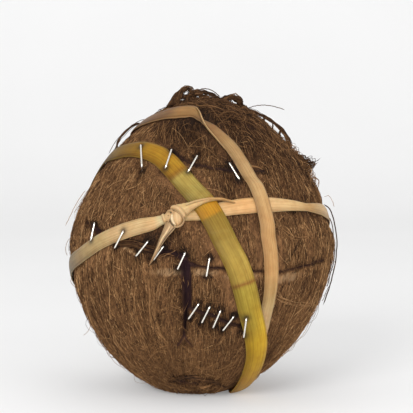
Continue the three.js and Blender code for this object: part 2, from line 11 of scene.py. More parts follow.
import bpy
import numpy as np
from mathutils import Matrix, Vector


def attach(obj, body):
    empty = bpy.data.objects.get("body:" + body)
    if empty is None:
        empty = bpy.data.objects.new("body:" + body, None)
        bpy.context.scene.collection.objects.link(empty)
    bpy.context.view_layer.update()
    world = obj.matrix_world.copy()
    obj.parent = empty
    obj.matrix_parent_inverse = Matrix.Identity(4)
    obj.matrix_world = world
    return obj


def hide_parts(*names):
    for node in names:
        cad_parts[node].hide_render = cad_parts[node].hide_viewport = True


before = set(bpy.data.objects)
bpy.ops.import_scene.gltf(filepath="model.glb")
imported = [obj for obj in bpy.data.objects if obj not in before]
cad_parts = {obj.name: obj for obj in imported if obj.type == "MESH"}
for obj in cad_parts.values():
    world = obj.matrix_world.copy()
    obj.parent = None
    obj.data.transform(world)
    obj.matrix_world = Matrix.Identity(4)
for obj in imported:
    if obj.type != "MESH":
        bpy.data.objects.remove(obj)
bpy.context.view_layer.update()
MM = 0.001

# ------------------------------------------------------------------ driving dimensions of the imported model

GAP = 0.3
NUT_RADIUS = 54.7
WIDEST_HEIGHT = 61
TOP_REACH, BOTTOM_REACH = 63.5, 64
TOP_EXPONENT, BOTTOM_EXPONENT = 1.58, 1.87
LEAN = 0.03
LOBE_DEPTH = 0.5
LOBE_TURN = 40
# Low ridges: count, depth, sway, bends.
RIDGES = ((13, 0.36, 1.1, 3.1), (23, 0.36, 1.7, 4.3), (36, 0.3, 2.3, 5.9))
CROWN_DIP = 2
CROWN_DIP_LATITUDES = (68, 82)
EYE_RADIUS = 4.2
EYE_DEPTH = 2.2
EYES = ((178, 80), (40, 83), (-40, 82))

# Cracks: depth, then (longitude, latitude, width) along each.
CRACKS = (
    (2.4, ((-25.8, 48.1, 0.5), (-16.3, 46.4, 1.3), (-8.8, 43, 1), (-3.4, 41, 1.2), (4.9, 39.5, 0.9),
        (18.2, 38.4, 1.1), (26.3, 38, 0.7), (36.5, 37.8, 0.4))),
    (3, ((-65, 12, 0.6), (-56, 10.8, 2), (-44, 6.5, 1.6), (-35.6, 4.9, 2.2), (-30.5, 4.9, 2.8),
        (-25, 4.2, 2.6), (-20, 2.7, 2), (-14.4, 1.9, 1.8), (-9.9, 1.4, 2), (-7, 0, 2.6), (-4.9, -2.6, 2),
        (0, -3.6, 0.9), (9.7, -4.5, 0.9), (21.7, -6.1, 0.8), (36.2, -7.1, 0.8), (46.6, -6.5, 1),
        (55, -5.5, 1), (67, -4.7, 0.4))),
    (5, ((-5.9, -2.6, 3.4), (-5.7, -5.9, 3.7), (-5.3, -12.5, 3.5), (-5.1, -17.7, 3.3), (-5.2, -20.8, 3.1),
        (-5.8, -22.6, 1.2), (-6.1, -26.7, 0.9), (-6.4, -30.4, 0.8), (-7, -35.4, 0.6))),
    (1.2, ((-6.9, -34.4, 0.7), (-8.5, -37.4, 0.5), (-10.7, -39.5, 0.3))),
    (1.2, ((-6.9, -34.4, 0.7), (-5.4, -37.4, 0.5), (-2.7, -40.2, 0.3))),
    (2.2, ((-5.5, -21.7, 1), (-1.6, -21.8, 0.9), (1, -23.2, 1.1), (7.8, -25.1, 0.8), (9.5, -26.5, 1.1),
        (17.2, -29.6, 0.8), (22.4, -30.6, 0.8), (29, -33, 0.4))),
)

STRIP_THICKNESS = 0.8
STRIP_FLOOR_GAP = 0.4
OVERLAP_MARGIN = 5
OVERLAP_RAMP = 5
PRESSED_MARGIN = 1.5
PRESSED_RAMP = 4
TIE_PATH = (
    (-77, -8), (-60.5, -2), (-52, 2), (-46, 5), (-35.5, 9.3), (-26.5, 12.2), (-21, 13.5), (-16.5, 15.3),
    (-11.5, 16.8), (-6, 17.7), (1.5, 18.2), (10, 20), (21.5, 21.2), (34.5, 21.2), (46.5, 20.3), (56, 19),
    (76, 16), (98, 9.5), (121, -3.6), (147, -14.4), (177, -22.3), (-151, -25.5), (-118.5, -22.5),
    (-97, -17),
)
TAN_PATH = (
    (-60, 66.6), (-42, 69.2), (-20.5, 69.8), (-11, 68.7), (-4, 66), (1.5, 62.8), (6.6, 59.8), (11.6, 55.9),
    (15.9, 52), (19.2, 47.6), (21.7, 42.5), (24, 36.5), (27.3, 25), (28.6, 9.7), (29.6, 0), (30.8, -10),
    (31.2, -17.5), (31, -25.5), (32, -36.5), (35, -46.5), (38.5, -54.5), (45.5, -62), (58, -66),
    (75, -66.8), (95, -66), (115, -64.5), (142, -59), (170, -47), (-171.5, -30), (-160, -10), (-153, 15),
    (-147, 38), (-128, 50), (-108, 57), (-84, 62.5),
)
GREEN_PATH = (
    (-87.5, 41.5), (-66.5, 46), (-44, 48), (-26, 44.5), (-14, 37), (-7.5, 31), (-1.6, 25), (2.3, 20.2),
    (5.3, 15.2), (8.5, 9), (11.7, 3), (15.2, -4), (19, -13.5), (22.7, -23), (27, -31.5), (31, -39),
    (34.5, -46), (38.5, -54), (45.5, -63.5), (57, -70.5), (85, -72.5), (121, -70.5), (160, -63.5),
    (-170, -53.5), (-150, -36.5), (-136, -17), (-122, 3.5), (-102, 26),
)

# Widths: share of the length, width.
TIE_WIDTHS = (
    (0, 6.2), (0.12, 6.4), (0.15, 6.2), (0.165, 5.4), (0.177, 3.9), (0.191, 3.6), (0.206, 5), (0.25, 5.8),
    (0.28, 6.4), (0.312, 5.9), (0.344, 4.5), (0.369, 3.3), (0.395, 4.6), (0.42, 5.7), (0.75, 5.8), (1, 6.2),
)
TAN_WIDTHS = (
    (0, 6.6), (0.02, 7.6), (0.042, 9), (0.05, 7.2), (0.0575, 5), (0.0645, 3.4), (0.076, 3.9), (0.09, 4.8),
    (0.106, 5.4), (0.122, 5.8), (0.16, 6), (0.22, 6.5), (0.28, 6.2), (0.3, 5.6), (0.32, 6.3), (0.4, 6),
    (0.44, 4.2), (0.5, 4.2), (0.6, 6.2), (1, 6.6),
)
GREEN_WIDTHS = (
    (0, 6.8), (0.045, 7.2), (0.09, 7.6), (0.125, 8), (0.18, 8.4), (0.24, 9), (0.3, 9.2), (0.42, 9),
    (0.48, 8.8), (0.56, 8), (1, 6.8),
)

# The knot: lobes as place, size, tilt and height; the strand and the tail as (longitude, latitude,
# height, width).
KNOT_LOBES = (((-10.1, 16.1), (5.4, 7.6, 4.4), -8, 1.6), ((-14, 16.5), (3.4, 4.6, 3.4), 20, 1.4))
STRAND = (
    (-11.4, 19.9, 2.2, 3), (-7.5, 19.7, 2.4, 4), (-4.2, 21, 2.8, 2.9), (-0.4, 22, 3.1, 2.1),
    (3.8, 23, 3.1, 1.5), (8.2, 23.5, 2.6, 1.3), (11.9, 23.2, 1.9, 1.2), (14.7, 22.5, 1.4, 0.7),
)
TAIL = (
    (-12.4, 14.6, 1.8, 3.6), (-13.3, 11.7, 2, 2.9), (-14.8, 8.4, 2.1, 2.2), (-16.3, 5.1, 2, 1.7),
    (-18, 1.3, 1.7, 1.2), (-20.6, -3.2, 1.3, 0.7),
)

WIRE_RADIUS = 0.36
LEG_DEPTH = 3.6
CROWN_CHECKS = 12
STAPLES = (
    (-43.5, 49.3, -34.3, 38.8), (-19.4, 47.4, -19.8, 38.4), (-3.3, 44.4, -7.3, 36.7),
    (14.4, 41.4, 18.5, 33.4), (-51.4, 12.1, -51.1, 5.1), (-33.4, 9.6, -36.4, 2.8), (-21.3, 5.9, -25.8, 0.2),
    (-15, 4.3, -19, -1.3), (-6, 2, -8.9, -4.6), (3.6, -0.1, 2.6, -7.4), (-0.2, -18.9, -4.5, -25.5),
    (4.5, -20.2, 1.4, -27.3), (9.2, -22, 6.6, -29.6), (15.4, -24.8, 11.3, -31), (20.5, -25, 21.2, -33.3),
)

# Wound strands that stand off the nut: radius, then (longitude, latitude, height) along each.
BUNDLE_TWIST = 4.8
LOCKS = {
    "loop_top_left": (0.9, ((-90, 74.2, -1.6), (-90, 76.3, 0.6), (-90, 79, 2.1), (-90, 81.4, 3.3),
        (-90, 83.2, 3.8), (-88, 84.6, 2.5), (-82, 84.3, 0.6), (-72, 82.5, -1.4), (-66, 81, -3.2))),
    "bridge_top": (0.6, ((-86, 83.4, 0.2), (-90, 85.4, 1.1), (-90, 87.2, 1), (-90, 89.3, 0.3),
        (90, 88, -0.4), (90, 86.2, -1), (90, 84.6, -1.7), (88, 83, -3))),
    "curl_top_right": (1.1, ((47, 81.8, -3.2), (50, 81.2, -1), (54, 80.6, 0.3), (64, 79.5, 1.4),
        (72.6, 77.9, 2), (79, 76.3, 1.5), (82.5, 75.5, 0.1), (78, 76, -1.6), (70, 76.6, -3.2))),
    "rope_right": (0.648, ((90, 77.5, -2.6), (90, 74.6, -0.8), (90, 70.5, 0.6), (90, 67, 1.4),
        (90, 63.2, 2.1), (90, 59.3, 2.7), (90, 55.8, 2.7), (90, 52.3, 2.1), (90, 49.2, 0.9),
        (90, 46.5, -1.2))),
    "arc_left": (0.3025, ((-88, 63, -1.2), (-88, 61, 1.6), (-88, 56, 2.5), (-88, 51, 2.1), (-88, 48, 0.6),
        (-88, 46.5, -1.2))),
    "frayed_end": (0.595, ((90, 48.5, -1.4), (88, 44.3, 0.4), (88, 40.3, 1.7), (88, 37, 3.1),
        (88, 34.8, 4.1))),
    "frayed_end_low": (0.455, ((84, 46, -1.4), (84, 41.8, 0.5), (85, 37.7, 1), (86, 35.2, 1.7))),
    "lip_under": (0.8, ((-30.5, -66.2, -0.9), (-14, -59.5, 0.2), (-4.8, -57.5, 0.4), (4.6, -58.5, 0.4),
        (15, -62, 0.2), (30, -68.5, -0.9))),
}
TUFT_SEED = 7
TUFT_COUNT = 30
TUFT_COLATITUDE = (6, 20)
TUFT_LENGTH = (7, 14)
TUFT_RISE = (-0.9, 0.5)
TUFT_RADIUS = (0.55, 0.95)
ROOT_DEPTH = 3.2

# ------------------------------------------------------------------ what this script adds, in millimetres

NUT_COLUMNS, NUT_ROWS = 384, 232
# Where the husk's rows stand closer: middle latitude, half height.
FINE_BANDS = ((2.5, 9), (42, 5), (-30, 10))
# How much closer the husk's columns, and the fibres, stand at the front.
FRONT_CROWDING, FIBRE_CROWDING = 0.5, 0.45
# How far the husk swells up under the strips, so that no light passes there.
UNDER_STRIPS = 0.55
HAIR_COUNT = 300
# Short ragged hairs: longitude, latitude, half the spread, count.
FRINGE = (88, 39, 10, 120)
CROWN_MAT_COUNT = 1300
STRIP_STATIONS, STRIP_COLUMNS = 560, 9
BLADE_STEPS, BLADE_COLUMNS, BLADE_THICKNESS = 60, 9, 0.5
LOBE_ROWS, LOBE_COLUMNS = 24, 40
SEED = 11
FAR = 99.0
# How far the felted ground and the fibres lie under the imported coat, and how low they are pressed by strips.
HUSK_SINK, FIBRE_SINK, PRESSED_HEIGHT = 0.3, 0.22, -0.15
SHORTEST_FIBRE = 0.7
LET_ACROSS = 0.03  # the share of fibres that may cross a crack
HOLE_DIP, HOLE_DIP_REACH = 0.35, 0.8
# Fibres in a wound strand: at least this many, and more for each millimetre of its radius.
LOCK_FIBRES, CROWN_FIBRES = (20, 34), (16, 26)
FRAYED, BOUND = 2.6, 0.3

# Where a crack is narrower than this, its width is multiplied by a share: one for each crack, then one for
# each hollow. Fibre half hides the first two, and the ends of the branches gape.
THIN_CRACK = 1.4
THIN_SHARES = (0.6, 0.6, 1, 1.3, 1.3, 1, 1, 1, 1)

# Smooth shell that shows through under the middle crack: longitude, latitude, half width, half height, and
# how much paler it is.
PATCHES = (
    (-32.3, 2.7, 1.5, 0.8, 0.42), (-29.9, 1.7, 1.7, 0.9, 0.5), (-27.6, 0.8, 1.5, 0.8, 0.42),
    (-13.9, -6.2, 7.5, 1.8, 0.18), (1.5, -6.2, 6.5, 1.7, 0.18), (41, -10, 9, 2.2, 0.22),
    (16.6, -8, 8, 1.4, 0.15),
)

# Broad changes of the coat's tone, partly its own and partly painted shade and light, such as painted shade
# beside the strips and above the middle crack: longitude, latitude, half width, half height, change.
TONE_AND_SHADE_PATCHES = (
    (-25, 61, 12, 9, -0.22), (-21, 39, 7, 5, -0.1), (-7, 53, 14, 8, -0.06), (35, 54, 31, 23, -0.24),
    (18, 39, 4, 7, -0.16), (87, 37, 17, 7, -0.15), (54, 19, 18, 6, -0.2), (-18, 7, 10, 6, -0.3),
    (2, 15, 4, 3, -0.2), (12, 28, 6, 5, -0.1), (-47, 1, 18, 17, 0.07), (45, -7, 24, 3, 0.1),
    (69, -45, 17, 13, 0.13), (-50, -24, 16, 12, -0.07), (50, -32, 12, 12, 0.05), (6, -59, 15, 13, 0.1),
    (10, -26, 9, 4, -0.1), (47, -49, 5, 14, -0.15),
)
CROWN_TONE = -0.23
CROWN_TONE_LATITUDES = (58, 80)
# How much the fibres differ from each other: at these latitudes, by these factors.
CONTRAST = ((-50, -15), (0.8, 1.3))
# Painted shade on the coat by cracks and round the staples' holes: how much darker, and how far it reaches.
CRACK_SHADE, CRACK_SHADE_REACH = 0.24, 0.8
HOLE_SHADE, HOLE_SHADE_REACH = 0.75, 1.6
# How far the painted shade round the staples' holes reaches on the leaves.
LEAF_HOLE_SHADE_REACH = 1.55

# Torn hollows in the fibre, like cracks but in the coat alone: depth, then (longitude, latitude, width).
# Their insides take the same painted shade as the cracks.
HOLLOWS = (
    (3, ((-17.2, -58.4, 0.8), (-12.3, -58.2, 1.6), (-8.1, -59.4, 1.8), (-3.7, -60.6, 2), (2.6, -61.4, 2),
        (11.4, -63.1, 1.6), (18, -65.2, 0.6))),
    (2, ((-21, -61.5, 0.8), (-17, -62.8, 2.2), (-12, -63.6, 2.4), (-6, -64.2, 1.6), (0, -64.8, 0.8))),
    (1, ((31, 72, 0.4), (28.4, 68.9, 1), (36.3, 65.7, 1.4), (43.2, 62.9, 0.8), (48, 60.5, 0.4))),
)

# ------------------------------------------------------------------ the nut's surface

CENTRE = np.array((0.0, 0.0, WIDEST_HEIGHT))


def direction(lon, lat):
    """Unit vectors for longitudes and latitudes in degrees."""
    lon, lat = np.radians(lon), np.radians(lat)
    return np.stack((np.cos(lat) * np.sin(lon), -np.cos(lat) * np.cos(lon), np.sin(lat)), axis=-1)


def unit(v):
    return v / np.linalg.norm(v, axis=-1, keepdims=True)


def reach(d):
    upper = d[..., 2] > 0
    exponent = np.where(upper, TOP_EXPONENT, BOTTOM_EXPONENT)
    across = np.hypot(d[..., 0], d[..., 1]) / NUT_RADIUS
    along = np.abs(d[..., 2]) / np.where(upper, TOP_REACH, BOTTOM_REACH)
    return (across**exponent + along**exponent) ** (-1 / exponent)


def over(d, height, lowest=0.0):
    """Points at a height over the egg, held above a level."""
    far = reach(d) + height
    down = np.minimum(d[..., 2], -1e-6)
    far = np.where(d[..., 2] < 0, np.minimum(far, (lowest - WIDEST_HEIGHT) / down), far)
    return CENTRE + d * far[..., None]


def smoothstep(x, low, high):
    t = np.clip((x - low) / (high - low), 0, 1)
    return t * t * (3 - 2 * t)


def coat_height(d):
    lon = np.arctan2(d[..., 0], -d[..., 1])
    lat = np.arcsin(np.clip(d[..., 2], -1, 1))
    waist = np.cos(lat)
    height = LOBE_DEPTH * np.cos(3 * lon + math.radians(LOBE_TURN)) * waist**2
    for count, depth, sway, bends in RIDGES:
        height = height + depth * np.sin(count * lon + sway * np.sin(bends * lat + count)) * waist
    return height - CROWN_DIP * smoothstep(np.degrees(lat), *CROWN_DIP_LATITUDES)


LATTICE = np.random.default_rng(5).uniform(-1, 1, (32, 32, 32))


def noise(points, size, shift=0.0):
    """Smooth noise from -1 to 1, with bumps of about that size."""
    p = points / size + shift
    low = np.floor(p).astype(int)
    t = p - low
    t = t * t * (3 - 2 * t)
    total = 0
    for corner in np.ndindex(2, 2, 2):
        weight = np.prod(np.where(corner, t, 1 - t), axis=-1)
        i, j, k = np.moveaxis((low + corner) % 32, -1, 0)
        total = total + weight * LATTICE[i, j, k]
    return total


# ------------------------------------------------------------------ strips and cracks, as lines on the nut


def closed_curve(path):
    """A closed centripetal Catmull-Rom curve through places on the nut: points, and shares of its length."""
    knots = direction(*np.array(path, float).T) * NUT_RADIUS
    step = np.linspace(0, 1, 60, endpoint=False)[:, None]
    spans = []
    for i in range(len(knots)):
        a, b, c, d = (knots[(i + k) % len(knots)] for k in (-1, 0, 1, 2))
        ab, bc, cd = (math.sqrt(np.linalg.norm(q - p)) for p, q in ((a, b), (b, c), (c, d)))
        leave = ((b - a) / ab - (c - a) / (ab + bc) + (c - b) / bc) * bc
        arrive = ((c - b) / bc - (d - b) / (bc + cd) + (d - c) / cd) * bc
        spans.append(b + leave * step + (3 * (c - b) - 2 * leave - arrive) * step**2
                     + (2 * (b - c) + leave + arrive) * step**3)
    points = np.concatenate(spans + [knots[:1]])
    length = np.concatenate(([0], np.cumsum(np.linalg.norm(np.diff(points, axis=0), axis=1))))
    return points, length / length[-1]


class Strip:
    """A closed strip of leaf, and the strips that it lies over."""

    def __init__(self, path, widths, lower):
        self.points, self.share = closed_curve(path)
        self.widths = np.array(widths, float)
        self.lower = lower
        self.dirs, self.width = self.at(np.linspace(0, 1, 480, endpoint=False))

    def at(self, share):
        """Directions and widths at shares of the strip's length."""
        share = np.mod(share, 1)
        place = np.stack([np.interp(share, self.share, self.points[:, k]) for k in range(3)], axis=-1)
        return unit(place), np.interp(share, self.widths[:, 0], self.widths[:, 1])

    def outside(self, d):
        """How far beyond the strip's edge each direction is. Inside the strip it is negative."""
        flat = d.reshape(-1, 3).astype(np.float32)
        found = np.empty(len(flat))
        for start in range(0, len(flat), 20000):
            dots = flat[start : start + 20000] @ self.dirs.T.astype(np.float32)
            best = dots.argmax(axis=1)
            angle = np.arccos(np.clip(dots[np.arange(len(best)), best], -1, 1))
            found[start : start + 20000] = angle * NUT_RADIUS - self.width[best] / 2
        return found.reshape(d.shape[:-1])

    def raised(self, d):
        """How far the strip is raised there over the strips that it crosses."""
        height = np.zeros(d.shape[:-1])
        for other in self.lower:
            cover = 1 - smoothstep(other.outside(d), OVERLAP_MARGIN, OVERLAP_MARGIN + OVERLAP_RAMP)
            height = np.maximum(height, cover * (STRIP_THICKNESS + GAP))
        return height


tie = Strip(TIE_PATH, TIE_WIDTHS, ())
tan = Strip(TAN_PATH, TAN_WIDTHS, (tie,))
green = Strip(GREEN_PATH, GREEN_WIDTHS, (tie, tan))
STRIPS = (tie, tan, green)


def beside_strips(d):
    return np.minimum.reduce([strip.outside(d) for strip in STRIPS])


def crack_samples():
    """Places along every crack, with the crack's half width and depth there."""
    places, halves, depths = [], [], []
    for (depth, line), share in zip(CRACKS + HOLLOWS, THIN_SHARES):
        line = np.array(line, float)
        for (lon0, lat0, w0), (lon1, lat1, w1) in zip(line[:-1], line[1:]):
            steps = max(2, int(math.hypot(lon1 - lon0, lat1 - lat0) / 0.25))
            t = np.linspace(0, 1, steps)
            places.append(direction(lon0 + (lon1 - lon0) * t, lat0 + (lat1 - lat0) * t))
            half = (w0 + (w1 - w0) * t) / 2
            halves.append(half * np.where(half < THIN_CRACK / 2, share, 1))
            depths.append(np.full(steps, depth))
    return np.concatenate(places), np.concatenate(halves), np.concatenate(depths)


CRACK_DIRS, CRACK_HALVES, CRACK_DEPTHS = crack_samples()


def crack(d):
    """Distance from the nearest crack's edge (negative inside), and that crack's depth."""
    flat = d.reshape(-1, 3)
    edge = np.full(len(flat), FAR)
    depth = np.zeros(len(flat))
    for start in range(0, len(flat), 10000):
        part = slice(start, start + 10000)
        angle = np.arccos(np.clip(flat[part] @ CRACK_DIRS.T, -1, 1))
        gap = angle * reach(flat[part])[:, None] - CRACK_HALVES
        best = gap.argmin(axis=1)
        edge[part] = gap[np.arange(len(best)), best]
        depth[part] = CRACK_DEPTHS[best]
    return edge.reshape(d.shape[:-1]), depth.reshape(d.shape[:-1])


def cover_height(d):
    """The highest thing under each direction: a strip's top, or else the coat."""
    height = coat_height(d)
    for strip in STRIPS:
        covered = strip.outside(d) < 1
        height = np.where(covered, np.maximum(height, GAP + strip.raised(d) + STRIP_THICKNESS), height)
    return height


def staple_frame(staple):
    """The crown's ends, the way that both legs point out of the nut, and the legs' length."""
    feet = direction(np.array(staple[0::2], float), np.array(staple[1::2], float))
    t = np.linspace(0, 1, CROWN_CHECKS + 1)[:, None]
    chord = feet[0] * (1 - t) + feet[1] * t
    straight = np.linalg.norm(chord, axis=1)
    d = unit(chord)
    height = (cover_height(d) + reach(d) * (1 - straight)).max() + GAP + WIRE_RADIUS
    ends = over(feet, np.array((height, height)))
    along = unit(ends[1] - ends[0])
    front = np.array((0.0, -1.0, 0.0))
    out = unit(front - along * (front @ along))
    return ends, out, height / (feet @ out).min() + LEG_DEPTH


def holes():
    """Directions of the places where the staples' legs go into what is under them."""
    found = []
    for staple in STAPLES:
        ends, out, leg = staple_frame(staple)
        way = ends[:, None] - out * np.linspace(0, leg, 60)[:, None]
        d = unit(way - CENTRE)
        above = np.linalg.norm(way - CENTRE, axis=-1) - reach(d) - cover_height(d)
        first = np.abs(above).argmin(axis=1)
        found += [d[k, first[k]] for k in (0, 1)]
    return found


HOLES = holes()


def from_crowns(d):
    """Distance in millimetres from the nearest staple's crown."""
    nearest = np.full(d.shape[:-1], FAR)
    for lon_a, lat_a, lon_b, lat_b in STAPLES:
        a, b = direction(lon_a, lat_a), direction(lon_b, lat_b)
        t = np.clip(((d - a) @ (b - a)) / ((b - a) @ (b - a)), 0, 1)
        away = np.linalg.norm(d - (a + (b - a) * t[..., None]), axis=-1) * NUT_RADIUS
        nearest = np.minimum(nearest, away)
    return nearest


def from_holes(d):
    """Distance from the nearest hole of a staple's leg."""
    return np.minimum.reduce([np.arccos(np.clip(d @ hole, -1, 1)) for hole in HOLES]) * NUT_RADIUS


def from_knot(d):
    """Distance from the lines of the knot, its strand and its tail."""
    nearest = np.full(d.shape[:-1], FAR)
    blobs = [(lon, lat, width) for lon, lat, _, width in (*STRAND, *TAIL)]
    blobs += [(*place, size[1]) for place, size, _, _ in KNOT_LOBES]
    for lon, lat, width in blobs:
        away = np.arccos(np.clip(d @ direction(lon, lat), -1, 1)) * NUT_RADIUS - width / 2
        nearest = np.minimum(nearest, away)
    return nearest


def from_patch(d, mid_lon, mid_lat, across, up):
    """Distance from the middle of a patch, as a share of its half width and half height."""
    lon = np.degrees(np.arctan2(d[..., 0], -d[..., 1]))
    lat = np.degrees(np.arcsin(np.clip(d[..., 2], -1, 1)))
    x = np.radians(lon - mid_lon) * np.cos(np.radians(lat)) * NUT_RADIUS / across
    y = np.radians(lat - mid_lat) * NUT_RADIUS / up
    return np.hypot(x, y)


def bare(d, pale=False):
    """How far the smooth shell shows through, from 0 to 1, or how much paler it is there."""
    found = np.zeros(d.shape[:-1])
    ragged = 0.3 * noise(d * NUT_RADIUS, 2.5, 4.4)
    for *patch, gain in PATCHES:
        here = 1 - smoothstep(from_patch(d, *patch) + ragged, 0.6, 1.1)
        found = np.maximum(found, here * gain if pale else here)
    return found


def shade(d):
    """Tone over the coat, round 0: its own, with painted shade and light; paler where the shell is bare."""
    place = d * NUT_RADIUS
    edge, depth = crack(d)
    tone = 0.06 * noise(place, 17, 2.2) + 0.03 * noise(place, 6, 6.1)
    tone = tone + 0.05 * noise(place * (1, 1, 0.2), 1, 1.4)
    # Painted shade beside the cracks and round the staples' holes.
    near_crack = np.exp(-((np.maximum(edge, 0) / CRACK_SHADE_REACH) ** 2)) * smoothstep(depth, 0.2, 2.2)
    tone = tone - CRACK_SHADE * near_crack - HOLE_SHADE * np.exp(-((from_holes(d) / HOLE_SHADE_REACH) ** 2))
    lat = np.degrees(np.arcsin(np.clip(d[..., 2], -1, 1)))
    tone = tone + CROWN_TONE * smoothstep(lat, *CROWN_TONE_LATITUDES)
    # Patches of the coat's own tone and of painted shade and light.
    for *patch, change in TONE_AND_SHADE_PATCHES:
        tone = tone + change * np.exp(-(from_patch(d, *patch) ** 2))
    return tone + bare(d, pale=True)


# ------------------------------------------------------------------ meshes


def make_mesh(name, points, faces, material, attributes):
    """A piece from points in millimetres and faces. attributes are numbers at its points or face corners."""
    mesh = bpy.data.meshes.new(name)
    faces = np.asarray(faces)
    count, corners = faces.shape
    mesh.vertices.add(len(points))
    leaning = np.asarray(points) @ np.array(((1, 0, 0), (0, 1, 0), (LEAN, 0, 1)))
    mesh.vertices.foreach_set("co", (leaning * MM).astype(np.float32).ravel())
    mesh.loops.add(count * corners)
    mesh.loops.foreach_set("vertex_index", faces.astype(np.int32).ravel())
    mesh.polygons.add(count)
    mesh.polygons.foreach_set("loop_start", np.arange(0, count * corners, corners, dtype=np.int32))
    mesh.polygons.foreach_set("use_smooth", np.full(count, True))
    for key, values in attributes.items():
        domain = "CORNER" if values.size == count * corners else "POINT"
        mesh.attributes.new(key, "FLOAT", domain).data.foreach_set("value", values.astype(np.float32).ravel())
    mesh.update()
    mesh.validate()
    mesh.materials.append(material)
    piece = bpy.data.objects.new(name, mesh)
    bpy.context.scene.collection.objects.link(piece)
    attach(piece, "root")
    return piece


def tubes(paths, radius, sides=3):
    """Thin tubes, pointed at both ends. paths is (count, steps, 3), and each path has a radius."""
    count, steps, _ = paths.shape
    tangent = unit(np.gradient(paths, axis=1))
    side = unit(np.cross(tangent, unit(paths - CENTRE)) + 1e-9)
    up = np.cross(side, tangent)
    turn = 2 * math.pi * np.arange(sides) / sides + math.pi / 2
    ring = side[:, 1:-1, None] * np.cos(turn)[:, None] + up[:, 1:-1, None] * np.sin(turn)[:, None]
    rings = paths[:, 1:-1, None] + ring * np.reshape(radius, (-1, 1, 1, 1))
    inner = steps - 2
    size = inner * sides + 2
    points = np.concatenate((paths[:, :1], rings.reshape(count, -1, 3), paths[:, -1:]), axis=1)
    last = 1 + (inner - 1) * sides
    faces = []
    for k in range(sides):
        after = (k + 1) % sides
        faces.append((0, 1 + after, 1 + k))
        for a in range(1, last, sides):
            b = a + sides
            faces += [(a + k, a + after, b + after), (a + k, b + after, b + k)]
        faces.append((last + k, last + after, size - 1))
    all_faces = np.array(faces) + (np.arange(count) * size)[:, None, None]
    return points.reshape(-1, 3), all_faces.reshape(-1, 3), size


def strand_piece(name, paths, radius, tint, sides=3):
    """A piece of thin strands of coir, with a radius and a tone for each."""
    points, faces, size = tubes(paths, radius, sides)
    return make_mesh(name, points, faces, fibre_material(name + "_coir"), {"tint": np.repeat(tint, size)})


def grid_faces(rows, columns, closed_rows=False, closed_columns=False):
    """Quads over a grid of points whose columns run fastest."""
    row = np.arange(rows if closed_rows else rows - 1)[:, None]
    column = np.arange(columns if closed_columns else columns - 1)[None]
    next_row = (row + 1) % rows
    next_column = (column + 1) % columns
    corners = (row * columns + column, row * columns + next_column,
               next_row * columns + next_column, next_row * columns + column)
    return np.stack([np.broadcast_to(c, (row.shape[0], column.shape[1])).ravel() for c in corners], axis=1)


def ball_faces(rows, columns):
    """Triangles over closed rings of points, which the two poles' points follow."""
    quads = grid_faces(rows, columns, closed_columns=True)
    first = np.arange(columns)
    after = (first + 1) % columns
    last = (rows - 1) * columns
    pole = np.full(columns, rows * columns)
    return np.concatenate((quads[:, (0, 1, 2)], quads[:, (0, 2, 3)], np.stack((pole, after, first), axis=1),
                           np.stack((pole + 1, last + first, last + after), axis=1)))


# ------------------------------------------------------------------ materials


BLACK, WHITE = (0, 0, 0), (255, 255, 255)


def linear(colour):
    """An sRGB colour from 0 to 255 as a linear one."""
    c = np.array(colour, float) / 255
    return (*np.where(c <= 0.04045, c / 12.92, ((c + 0.055) / 1.055) ** 2.4), 1.0)


class Nodes:
    """Short ways to add nodes to a material."""

    def __init__(self, name, roughness, gloss=0.5, metallic=0.0):
        self.material = bpy.data.materials.new(name)
        self.material.use_nodes = True
        self.tree = self.material.node_tree
        self.shader = self.tree.nodes["Principled BSDF"]
        self.set("Roughness", roughness)
        self.set("Specular IOR Level", gloss)
        self.set("Metallic", metallic)

    def set(self, socket, value):
        self.shader.inputs[socket].default_value = value

    def add(self, kind, **settings):
        node = self.tree.nodes.new(kind)
        for key, value in settings.items():
            setattr(node, key, value)
        return node

    def link(self, source, target):
        self.tree.links.new(source, target)

    def value(self, name):
        return self.add("ShaderNodeAttribute", attribute_name=name).outputs["Fac"]

    def ramp(self, source, stops):
        node = self.add("ShaderNodeValToRGB")
        elements = node.color_ramp.elements
        while len(elements) < len(stops):
            elements.new(0.5)
        for element, (position, colour) in zip(elements, stops):
            element.position = position
            element.color = linear(colour)
        self.link(source, node.inputs["Fac"])
        return node.outputs["Color"]

    def noise(self, scale, detail=4.0, vector=None, roughness=0.55):
        node = self.add("ShaderNodeTexNoise")
        node.inputs["Scale"].default_value = scale
        node.inputs["Detail"].default_value = detail
        node.inputs["Roughness"].default_value = roughness
        if vector is None:
            vector = self.add("ShaderNodeTexCoord").outputs["Object"]
        self.link(vector, node.inputs["Vector"])
        return node.outputs["Fac"]

    def feed(self, socket, source):
        """Sets a socket to a constant, or links a source to it."""
        if isinstance(source, (int, float, tuple)):
            socket.default_value = source
        else:
            self.link(source, socket)

    def math(self, operation, a, b=0):
        """A sum of one or two. MULTIPLY_ADD adds a half."""
        node = self.add("ShaderNodeMath", operation=operation)
        node.inputs[2].default_value = 0.5
        for socket, source in zip(node.inputs, (a, b)):
            self.feed(socket, source)
        return node.outputs[0]

    def mix(self, mode, factor, a, b):
        node = self.add("ShaderNodeMix", data_type="RGBA", blend_type=mode)
        for index, source in ((0, factor), (6, a), (7, b)):
            self.feed(node.inputs[index], source)
        return node.outputs[2]

    def bump(self, height, distance, strength=1.0):
        node = self.add("ShaderNodeBump")
        node.inputs["Distance"].default_value = distance
        node.inputs["Strength"].default_value = strength
        self.link(height, node.inputs["Height"])
        self.link(node.outputs["Normal"], self.shader.inputs["Normal"])

    def colour(self, source):
        self.link(source, self.shader.inputs["Base Color"])


COIR = (
    (0.0, (28, 18, 12)),
    (0.25, (65, 43, 26)),
    (0.5, (105, 74, 47)),
    (0.75, (142, 104, 67)),
    (1.0, (188, 147, 101)),
)


